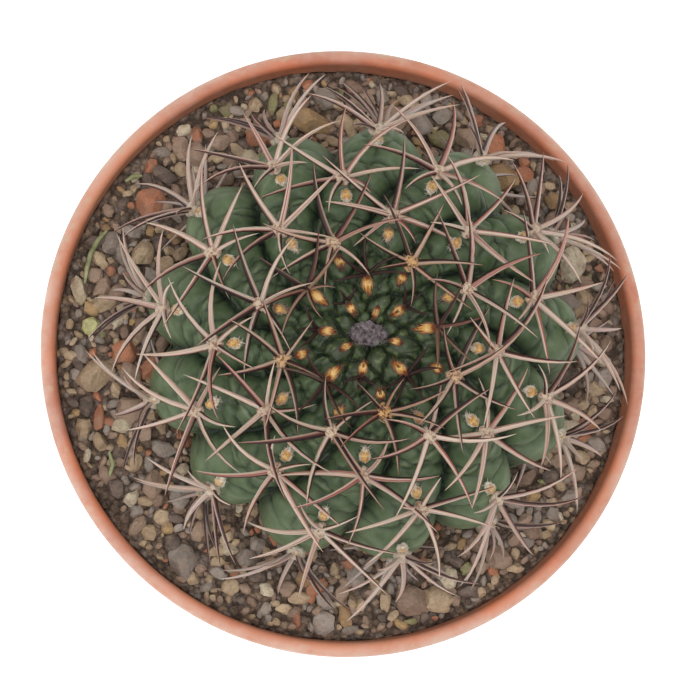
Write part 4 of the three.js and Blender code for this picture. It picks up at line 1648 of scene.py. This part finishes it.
@dataclass
class Pot:
    """The nursery pot, drawn up ring by ring from a disc, with a rolled rim and drain holes."""

    rim_radius: float = 60.0
    height: float = 92.0
    base_radius: float = 42.0
    wall: float = 1.8
    floor: float = 2.2
    band_bottom: float = 75.0
    shoulder_radius: float = 56.0
    band_step: float = 2.1
    band_slope: float = 0.058
    step_height: float = 0.8
    lip_height: float = 3.2
    lip_width: float = 2.9
    lip_dome: float = 1.7
    lip_squareness: float = 0.8
    lip_steps: int = 14
    drain_holes: int = 6
    drain_radius: float = 3.5
    drain_circle: float = 26.0
    drain_facets: int = 32
    facets: int = 192

    def outside(self, height: float) -> float:
        """Radius of the outer wall at a height: a cone, with a nearly upright band above it."""
        if height < self.band_bottom:
            return self.base_radius + (self.shoulder_radius - self.base_radius) * height / self.band_bottom
        return self.shoulder_radius + self.band_step + self.band_slope * (height - self.band_bottom)

    def inside(self, height: float) -> float:
        """Radius of the inner wall at a height."""
        return self.outside(height) - self.wall

    def inner_step(self, gap: float) -> list[Ring]:
        """The step between the wall and the band inside the pot: its lower corner, then its upper one."""
        bottom = self.band_bottom + self.wall - 0.2 + gap
        return [(self.shoulder_radius - self.wall - 0.1 - gap, bottom),
                (self.inside(bottom) - gap, bottom + self.step_height)]

    def _outer_rings(self) -> list[Ring]:
        """Rings up the outside, with two a few tenths apart at each moulded corner."""
        lip, step, shoulder = self.height - self.lip_height, self.band_bottom, self.shoulder_radius
        band = self.outside(step)
        rings = [(self.base_radius - 0.3, 0.25)]
        rings += [(self.outside(level), level) for level in (0.9, 6, 20, 40, 60, 72)]
        rings += [(shoulder - 0.05, step - 0.2), (shoulder + 0.25, step + 0.15)]
        rings += [(band - 0.3, step + 0.5), (band, step + 0.9)]
        rings += [(self.outside(level), level) for level in (80, 85, lip - 0.5)]
        return rings + [(self.outside(lip) + 0.15, lip - 0.1), (self.rim_radius - 0.35, lip + 0.3)]

    def _rim_rings(self) -> Iterator[Ring]:
        """Rings over the rolled rim, half a turn of a squared circle."""
        half = self.lip_width / 2
        for step in range(self.lip_steps + 1):
            out, up = on_circle(1.0, math.pi * step / self.lip_steps)
            yield (self.rim_radius - half + half * math.copysign(abs(out) ** self.lip_squareness, out),
                   self.height - self.lip_dome + self.lip_dome * up ** self.lip_squareness)

    def _inner_rings(self) -> list[Ring]:
        """Rings down the inside to the floor."""
        low, high = self.inner_step(0)
        floor = self.inside(self.floor)
        rings = [(self.inside(level) - 0.02, level) for level in (88, 85, 82, 80)]
        rings += [(high[0], high[1] + 0.3), (high[0] - 0.3, high[1])]
        rings += [(low[0] + 0.3, low[1]), (low[0], low[1] - 0.3)]
        rings += [(self.inside(level), level) for level in (60, 30, 10, self.floor + 1.5)]
        return rings + [(floor - 0.5, self.floor + 0.4), (floor - 1.5, self.floor)]

    def build(self) -> Piece:
        """Draws up the pot, drills it and marks its rim and its inner wall.

        Returns:
            The pot.
        """
        foot = self.base_radius - 1.0
        pot = added(bpy.ops.mesh.primitive_circle_add, "nursery_pot", vertices=self.facets, radius=foot * MM,
                    fill_type="NGON")
        with editing(pot):
            draw_up([*self._outer_rings(), *self._rim_rings(), *self._inner_rings()], foot, 0.0)
        self._drill(pot)
        self._mark(pot)
        select_only(pot)
        bpy.ops.object.shade_smooth_by_angle(angle=math.radians(40))
        return pot

    def _drill(self, pot: Piece) -> None:
        """Cuts the drain holes through the base."""
        for hole in range(self.drain_holes):
            x, y = on_circle(self.drain_circle * MM, (hole + 0.5) * 2 * math.pi / self.drain_holes)
            drill = added(bpy.ops.mesh.primitive_cylinder_add, "drill", vertices=self.drain_facets,
                          radius=self.drain_radius * MM, depth=4 * self.floor * MM, location=(x, y, 0))
            select_only(pot)
            cut = pot.modifiers.new("drain", "BOOLEAN")
            cut.operation = "DIFFERENCE"
            cut.object = drill
            bpy.ops.object.modifier_apply(modifier=cut.name)
            bpy.data.objects.remove(drill)

    def _mark(self, pot: Piece) -> None:
        """Stores where the rim is, for its bloom and painted highlight, and where the inner wall is, for its
        painted light and dirt, for the finish.
        """
        x, y, level = (points_of(pot.data) / MM).T
        radius = np.hypot(x, y)
        rim = smooth_step(self.height - 4.5, self.height - 1.2, level)
        rim *= smooth_step(self.rim_radius - self.lip_width, self.rim_radius - 0.2, radius)
        middle = np.array([self.outside(height) for height in level]) - self.wall / 2
        store(pot.data, rim=rim, inside=(radius < middle) * smooth_step(-1.6, -6.0, level - self.height))


# -------- soil


@dataclass
class Stone:
    """A stone's place, half width, turns, flattening and length, and its kind where that is chosen."""

    x: float
    y: float
    size: float
    turn: tuple[float, float, float]
    flat: float
    long: float
    kind: Grit | None = None

    def clear_of(self, others: Iterable["Stone"], share: float) -> bool:
        """True where it stands further from all others than a share of their sizes."""
        return all(math.hypot(self.x - other.x, self.y - other.y) > share * (self.size + other.size)
                   for other in others)


class Marked(Enum):
    """Stones that catch the eye, listed one by one: place in mm, half width, length, turn in degrees, kind.
    """

    PALE_CHIP = (-53.6, 12.0, 2.4, 1.3, 90, Grit.PALE)
    PALE_BEAD = (-50.3, 4.6, 1.8, 1.0, 0, Grit.BEAD)
    GREEN_BEAD = (-48.0, 3.0, 0.8, 1.0, 0, Grit.OLIVE)
    RED_LUMP = (-43.5, -0.5, 2.7, 1.1, 20, Grit.BRICK)
    RED_CRUMB = (-46.5, 15.5, 1.1, 1.0, 0, Grit.BRICK)
    RED_LEFT = (-39.0, 36.5, 1.5, 1.3, 60, Grit.BRICK)
    RED_CHIP = (-48.5, -13.5, 1.8, 1.6, 90, Grit.BRICK)
    RED_TOP = (-7.5, 54.0, 1.2, 1.0, 0, Grit.BRICK)
    RED_LOW = (-9.5, -53.0, 1.3, 1.5, 90, Grit.BRICK)
    OCHRE_BEAD = (-34.0, 22.5, 1.5, 1.0, 0, Grit.AMBER)
    OCHRE_LEFT = (-53.0, -12.5, 0.9, 1.0, 0, Grit.AMBER)
    OCHRE_LOW = (-35.0, -35.0, 1.4, 1.1, 90, Grit.AMBER)
    OCHRE_FRONT = (0.0, -52.5, 1.9, 1.4, 100, Grit.AMBER)
    OCHRE_TOP = (-26.5, 45.5, 1.1, 1.0, 0, Grit.AMBER)
    OLIVE_TOP = (-14.5, 50.0, 1.6, 1.5, 80, Grit.OLIVE)
    OLIVE_SIDE = (-24.0, 48.5, 1.5, 1.0, 0, Grit.OLIVE)
    CREAM_LEFT = (-44.0, -15.0, 1.9, 1.1, 10, Grit.PALE)
    CREAM_LOW = (-23.0, -39.0, 1.7, 1.3, 0, Grit.PALE)
    WHITE_LOW = (-15.5, -47.0, 1.5, 1.1, 120, Grit.PALE)
    TAN_LOW = (-38.5, -36.0, 1.7, 1.0, 0, Grit.TAN)
    TAN_ROUND = (-22.5, -46.5, 1.9, 1.0, 0, Grit.TAN)
    TAN_FRONT = (-9.0, -48.5, 1.8, 1.3, 0, Grit.TAN)
    TAN_LONG = (8.0, -49.0, 1.7, 1.4, 90, Grit.TAN)
    TAN_LARGE = (18.0, -49.0, 3.1, 1.2, 170, Grit.TAN)
    GREY_LARGE = (-32.0, -41.5, 3.2, 1.1, 100, Grit.GREY)
    GREY_FRONT = (-4.0, -53.5, 2.5, 1.1, 90, Grit.GREY)
    SLATE_LEFT = (-45.0, -27.5, 2.1, 1.0, 0, Grit.DARK)


@dataclass
class Soil:
    """The soil: a rough filled body with a coat of grit in several colours."""

    pot: Pot
    top: float = 85.3
    swell: float = 0.8
    bank: float = 0.9
    hole_radius: float = 11.3
    hole_depth: float = 17.0
    gap: float = 0.3
    foot_rounding: float = 1.8
    rough_above: float = 0.5
    ring_gap: float = 0.65
    facets: int = 300
    stone_seed: int = 2607
    ring_inside: float = 41.5
    ring_outside: float = 55.0
    sizes: tuple[tuple[int, float], ...] = ((18, 3.1), (44, 2.3), (46, 1.7))
    tries: int = 60
    large_apart: float = 0.95
    marked_apart: float = 0.6
    fill_seed: int = 88
    fill: tuple[tuple[int, float], ...] = ((170, 1.75), (560, 1.2), (1300, 0.8))
    fill_tries: int = 3
    fill_inside: float = 15.0
    fill_apart: float = 0.7
    fill_cell: float = 7.0
    coarse_from: float = 1.4
    chips: int = 8
    stalk_radius: float = 0.5
    stalk_taper: float = 0.55
    stalk_lift: float = 2.1
    stalks: tuple[tuple[tuple[float, float], ...], ...] = (
        ((-47.4, 23.3), (-49.2, 21.3), (-50.5, 18.8), (-51.2, 16.0), (-51.6, 12.7)),
        ((-43.9, 33.2), (-42.3, 34.3), (-40.6, 34.4)),
        ((-46.4, -25.0), (-45.8, -22.7), (-46.5, -20.2)))

    def height(self, x: float, y: float) -> float:
        """Height of the soil at a place, before its roughness."""
        radius = math.hypot(x, y)
        return self.top + self.swell * (1 - float(smooth_step(self.hole_radius, self.ring_outside, radius)))

    def ground(self, x: float, y: float) -> float:
        """Height of the rough surface at a place, which is banked up against the pot."""
        place = Vector((x, y, 0.0))
        lumps = 0.5 - noise.voronoi(place * 0.42)[0][0]
        rough = 0.9 * noise.noise(place * 0.22) + 0.4 * noise.noise(place * 0.6) + 0.9 * lumps
        edge = smooth_step(self.ring_outside - 2, self.ring_outside + 2, math.hypot(x, y))
        return self.height(x, y) + rough + self.bank * float(edge)

    def build_bed(self) -> Piece:
        """Fills the pot ring by ring, then roughens the top and sinks the root's hole.

        Returns:
            The soil's body.
        """
        floor = self.pot.floor + self.gap
        foot = self.pot.inside(floor) - self.foot_rounding
        bed = added(bpy.ops.mesh.primitive_circle_add, "soil_bed", vertices=self.facets, radius=foot * MM,
                    fill_type="NGON", location=(0, 0, floor * MM))
        settle(bed)
        edge = self.pot.inside(self.top) - 0.06
        rings = [(self.pot.inside(level) - self.gap, level) for level in (4.2, 40, 70)]
        rings += [*self.pot.inner_step(self.gap), (self.pot.inside(self.top) - self.gap, self.top - 1.5)]
        rings += [(edge - self.ring_gap * step, self.top)
                  for step in range(int((edge - self.hole_radius) / self.ring_gap))]
        rings += [(self.hole_radius, self.top), (self.hole_radius, self.top - self.hole_depth - self.gap)]
        with editing(bed):
            draw_up(rings, foot, floor)
        for vertex in bed.data.vertices:
            x, y, z = vertex.co / MM
            if z > self.top - self.rough_above:
                vertex.co.z = self.ground(x, y) * MM
        bpy.ops.object.shade_smooth()
        return bed

    def _chip(self, seed: int, rounds: int, fineness: int) -> Shape:
        """Models one stone: a rough ball with flats cut off it and its edges broken.

        Args:
            seed: Which stone it is.
            rounds: How many flats are cut.
            fineness: How finely the ball is divided, 2 for grit or 3 for a larger stone.

        Returns:
            A shape of about 1 in radius.
        """
        draw = seeded_draws(seed)
        chip = added(bpy.ops.mesh.primitive_ico_sphere_add, "chip", subdivisions=fineness, radius=1.0)
        with editing(chip):
            for _ in range(rounds):
                flat = Vector((draw() - 0.5, draw() - 0.5, draw() - 0.5)).normalized()
                bpy.ops.mesh.select_all(action="SELECT")
                bpy.ops.mesh.bisect(plane_co=tuple(flat * (0.62 + 0.22 * draw())), plane_no=tuple(flat),
                                    use_fill=True, clear_outer=True)
            bpy.ops.mesh.select_all(action="SELECT")
            bpy.ops.mesh.remove_doubles(threshold=0.24 / fineness ** 1.5)
        knobs = 0.06 if fineness > 2 and rounds else 0.0
        for vertex in chip.data.vertices:
            place = vertex.co + Vector((seed, 0, 0))
            vertex.co *= 1 + 0.2 * noise.noise(place * 1.7) + knobs * noise.noise(place * 6)
        return Shape.of(chip)

    def _large(self) -> list[Stone]:
        """Sets the large stones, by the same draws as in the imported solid.

        Returns:
            The stones.
        """
        draw = seeded_draws(self.stone_seed)
        stones: list[Stone] = []
        for count, half in self.sizes:
            placed = attempt = 0
            while attempt < self.tries * count and placed < count:
                attempt += 1
                size = half * (0.82 + 0.36 * draw())
                inner, outer = self.ring_inside ** 2, (self.ring_outside - size) ** 2
                radius = math.sqrt(inner + (outer - inner) * math.sqrt(draw()))
                x, y = on_circle(radius, 2 * math.pi * draw())
                turn = (draw() * math.pi, draw() * 0.6, draw() * math.pi)
                stone = Stone(x, y, size, turn, 0.62 + 0.2 * draw(), 1 + 0.3 * draw())
                if stone.clear_of(stones, self.large_apart):
                    stones.append(stone)
                    placed += 1
        return stones

    def _marked(self) -> list[Stone]:
        """Sets the listed stones, kept clear of the pot's wall.

        Returns:
            The stones.
        """
        stones = []
        for x, y, size, long, turn, kind in (mark.value for mark in Marked):
            limit = self.pot.inside(self.top) - self.gap - 0.2 - size
            inward = min(1.0, limit / math.hypot(x, y))
            flat = 0.95 if kind is Grit.BEAD else 0.72
            turns = (0.0, 0.15, math.radians(turn))
            stones.append(Stone(x * inward, y * inward, size, turns, flat, long, kind))
        return stones

    def _filling(self, large: Sequence[Stone]) -> list[Stone]:
        """Sets smaller grit between the large stones, over the whole surface.

        Args:
            large: The large stones.

        Returns:
            The smaller ones.
        """
        draw = seeded_draws(self.fill_seed)
        found: list[Stone] = []
        grid: dict[tuple[int, int], list[Stone]] = {}

        def cell_of(stone: Stone) -> tuple[int, int]:
            """The square of the grid that a stone lies in."""
            return int(stone.x // self.fill_cell), int(stone.y // self.fill_cell)

        for stone in large:
            grid.setdefault(cell_of(stone), []).append(stone)
        for count, half in self.fill:
            for _ in range(count * self.fill_tries):
                size = half * (0.75 + 0.5 * draw())
                limit = self.pot.inside(self.top) - self.gap - 0.3 - size
                inner = self.fill_inside ** 2
                radius = math.sqrt(inner + (limit ** 2 - inner) * draw() ** 0.8)
                x, y = on_circle(radius, 2 * math.pi * draw())
                turn = (draw() * math.pi, draw() * 3.0, draw() * math.pi)
                stone = Stone(x, y, size, turn, 0.6 + 0.3 * draw(), 1 + 0.35 * draw())
                column, row = cell_of(stone)
                near = [other for i in (-1, 0, 1) for j in (-1, 0, 1)
                        for other in grid.get((column + i, row + j), [])]
                if stone.clear_of(near, self.fill_apart):
                    found.append(stone)
                    grid.setdefault((column, row), []).append(stone)
        return found

    def build_grit(self) -> list[tuple[Grit, Piece]]:
        """Sorts all stones by kind and makes one piece of each kind.

        Returns:
            The kinds with their pieces.
        """
        small = [self._chip(31 + 7 * index, 5 + index % 4, 2) for index in range(self.chips)]
        coarse = [self._chip(131 + 5 * index, 6 + index % 4, 3) for index in range(self.chips)]
        bead = self._chip(7, 0, 3)
        draw = seeded_draws(self.fill_seed + 5)
        heaps = {kind: Copies(kind.value[0]) for kind in Grit}
        marked = self._marked()
        large = [stone for stone in self._large() if stone.clear_of(marked, self.marked_apart)] + marked
        for stone in large + self._filling(large):
            kind = stone.kind or self._kind(draw())
            chips = coarse if stone.size > self.coarse_from else small
            chip = bead if kind is Grit.BEAD else chips[int(draw() * len(chips)) % len(chips)]
            first, tilt, last = (np.array(Matrix.Rotation(angle, 3, axis))
                                 for angle, axis in zip(stone.turn, "ZXZ"))
            scale = np.array([stone.size * stone.long, stone.size / stone.long, stone.size * stone.flat])
            local = (chip.corners @ first.T) * scale @ (last @ tilt).T
            rise = 0.2 if stone.size > self.coarse_from else 0.3
            ground = self.ground if stone.size < self.coarse_from else self.height
            level = ground(stone.x, stone.y) + stone.size * rise
            heaps[kind].add(chip, local + np.array([stone.x, stone.y, level]), shade=draw())
        return [(kind, heap.build(32.0)) for kind, heap in heaps.items()]

    def _stalk(self, route: Sequence[tuple[float, float]]) -> Piece:
        """Lays one stalk, a thin tube that is thickest in its middle.

        Args:
            route: The places that it lies over.

        Returns:
            The stalk, as a curve.
        """
        line = bpy.data.curves.new("dry_stalks", "CURVE")
        line.dimensions = "3D"
        line.bevel_depth = self.stalk_radius * MM
        line.bevel_resolution = 2
        line.use_fill_caps = True
        spline = line.splines.new("NURBS")
        spline.use_endpoint_u = True
        spline.order_u = 3
        spline.points.add(len(route) - 1)
        for point, (x, y) in zip(spline.points, route):
            point.co = (x * MM, y * MM, (self.height(x, y) + self.stalk_lift) * MM, 1.0)
        for end in (spline.points[0], spline.points[-1]):
            end.radius = self.stalk_taper
        return linked("dry_stalks", line)

    def build_stalks(self) -> Piece:
        """Lays the dry stalks on the grit.

        Returns:
            All of them as one piece.
        """
        pieces = [self._stalk(route) for route in self.stalks]
        select_only(pieces[0])
        for piece in pieces:
            piece.select_set(True)
        bpy.ops.object.convert(target="MESH")
        bpy.ops.object.join()
        stalks = bpy.context.object
        stalks.data.name = "dry_stalks"
        with editing(stalks):
            bpy.ops.mesh.remove_doubles(threshold=0.00001)
        bpy.ops.object.shade_smooth()
        return stalks

    @staticmethod
    def _kind(draw: float) -> Grit:
        """Picks a kind of stone by its share."""
        reached = 0.0
        for kind in Grit:
            reached += kind.value[3]
            if draw < reached:
                return kind
        return Grit.BROWN


# -------- studio


@dataclass
class Studio:
    """A pale floor, soft light from above and the camera at the photograph's angle."""

    tilt: float = 9.67
    bearing: float = 219.8
    distance: float = 450.0
    rim_height: float = 92.0
    pixels_per_mm: float = 5.095
    image_width: float = 700.0
    rim_centre_px: tuple[float, float] = (349.0, 349.2)
    sensor: float = 36.0
    floor_size: float = 6.0
    floor_gap: float = 0.0002
    lamp_aim: Vector = field(default_factory=lambda: Vector((0, 0, 0.09)))
    lamps: tuple[tuple[str, float, float, tuple[float, float, float]], ...] = (
        ("overhead", 11.5, 1.2, (-0.12, -0.2, 1.27)),
        ("left_fill", 3.0, 0.9, (-1.1, -0.2, 0.7)),
        ("right_fill", 2.0, 0.9, (1.1, 0.4, 0.6)))

    def place_camera(self) -> None:
        """Looks down on the rim's centre, tilted towards the lower left of the picture."""
        tilt, bearing = math.radians(self.tilt), math.radians(self.bearing)
        back = Vector((*on_circle(math.sin(tilt), bearing), math.cos(tilt)))
        up = (Vector((0, 1, 0)) - back * back.y).normalized()
        right = up.cross(back)
        aside, below = ((self.image_width / 2 - place) / self.pixels_per_mm for place in self.rim_centre_px)
        aim = Vector((0, 0, self.rim_height)) + right * aside - up * below
        lens = bpy.data.cameras.new("photo_view")
        lens.sensor_width = self.sensor
        lens.lens = self.pixels_per_mm * self.distance / self.image_width * self.sensor
        camera = linked("photo_view", lens)
        camera.matrix_world = Matrix.Translation((aim + back * self.distance) * MM) @ Matrix(
            (right, up, back)).transposed().to_4x4()
        bpy.context.scene.camera = camera

    def lay_floor(self) -> None:
        """Lays a wide pale floor just under the pot."""
        floor = added(bpy.ops.mesh.primitive_plane_add, "floor", size=self.floor_size,
                      location=(0, 0, -self.floor_gap))
        settle(floor)
        shader = Shader("pale_floor")
        colour = shader.ramp(shader.grain(400, 2), (0.3, (0.86, 0.86, 0.86)), (0.7, (0.9, 0.9, 0.9)))
        shader.surface.inputs["Emission Color"].default_value = (1, 1, 1, 1)
        floor.data.materials.append(shader.finish(colour, None, 0.9, Emission_Strength=0.55))

    def hang_lights(self) -> None:
        """Hangs a large soft light overhead, two weaker ones aside, and an even pale surround."""
        for name, power, size, place in self.lamps:
            light = bpy.data.lights.new(name, "AREA")
            light.energy = power
            light.size = size
            lamp = linked(name, light)
            lamp.location = place
            lamp.rotation_euler = (self.lamp_aim - Vector(place)).to_track_quat("-Z", "Y").to_euler()
        world = bpy.data.worlds.new("surround")
        world.use_nodes = True
        background = world.node_tree.nodes["Background"]
        background.inputs[0].default_value = (1.0, 0.99, 0.97, 1)
        background.inputs[1].default_value = 0.4
        bpy.context.scene.world = world
        bpy.context.scene.view_settings.view_transform = "Standard"


# -------- the whole


def main() -> None:
    """Builds the studio and every piece, and reports each one."""
    logging.basicConfig(level=logging.INFO, format="%(name)s: %(message)s")
    studio = Studio()
    studio.place_camera()
    studio.lay_floor()
    studio.hang_lights()

    pot = Pot()
    hand_in(pot.build(), PotPlastic().build(), "pot_plastic", "pot")

    soil = Soil(pot)
    hand_in(soil.build_bed(), Crumb().build(), "gravel_mix", "soil")
    for kind, heap in soil.build_grit():
        hand_in(heap, kind.build(), "gravel_mix", "soil")
    hand_in(soil.build_stalks(), DryStalk().build(), "gravel_mix")

    growth = Growth()
    areoles = growth.all_areoles()
    spines = Spines(pot)
    grown = spines.grow(areoles)
    LOG.info("spines: %d", len(grown))
    hand_in(Body(growth).build(), CactusSkin().build(), "cactus_skin", "cactus")
    hand_in(spines.build(grown), SpineHorn().build(), "cactus_skin", "cactus")
    hand_in(AreoleFelt().build(areoles), Felt().build(), "cactus_skin", "cactus")
    hand_in(CrownTuft().build(growth), CrownWool().build(), "grey_wool", "crown_wool")


if __name__ == "__main__":
    main()
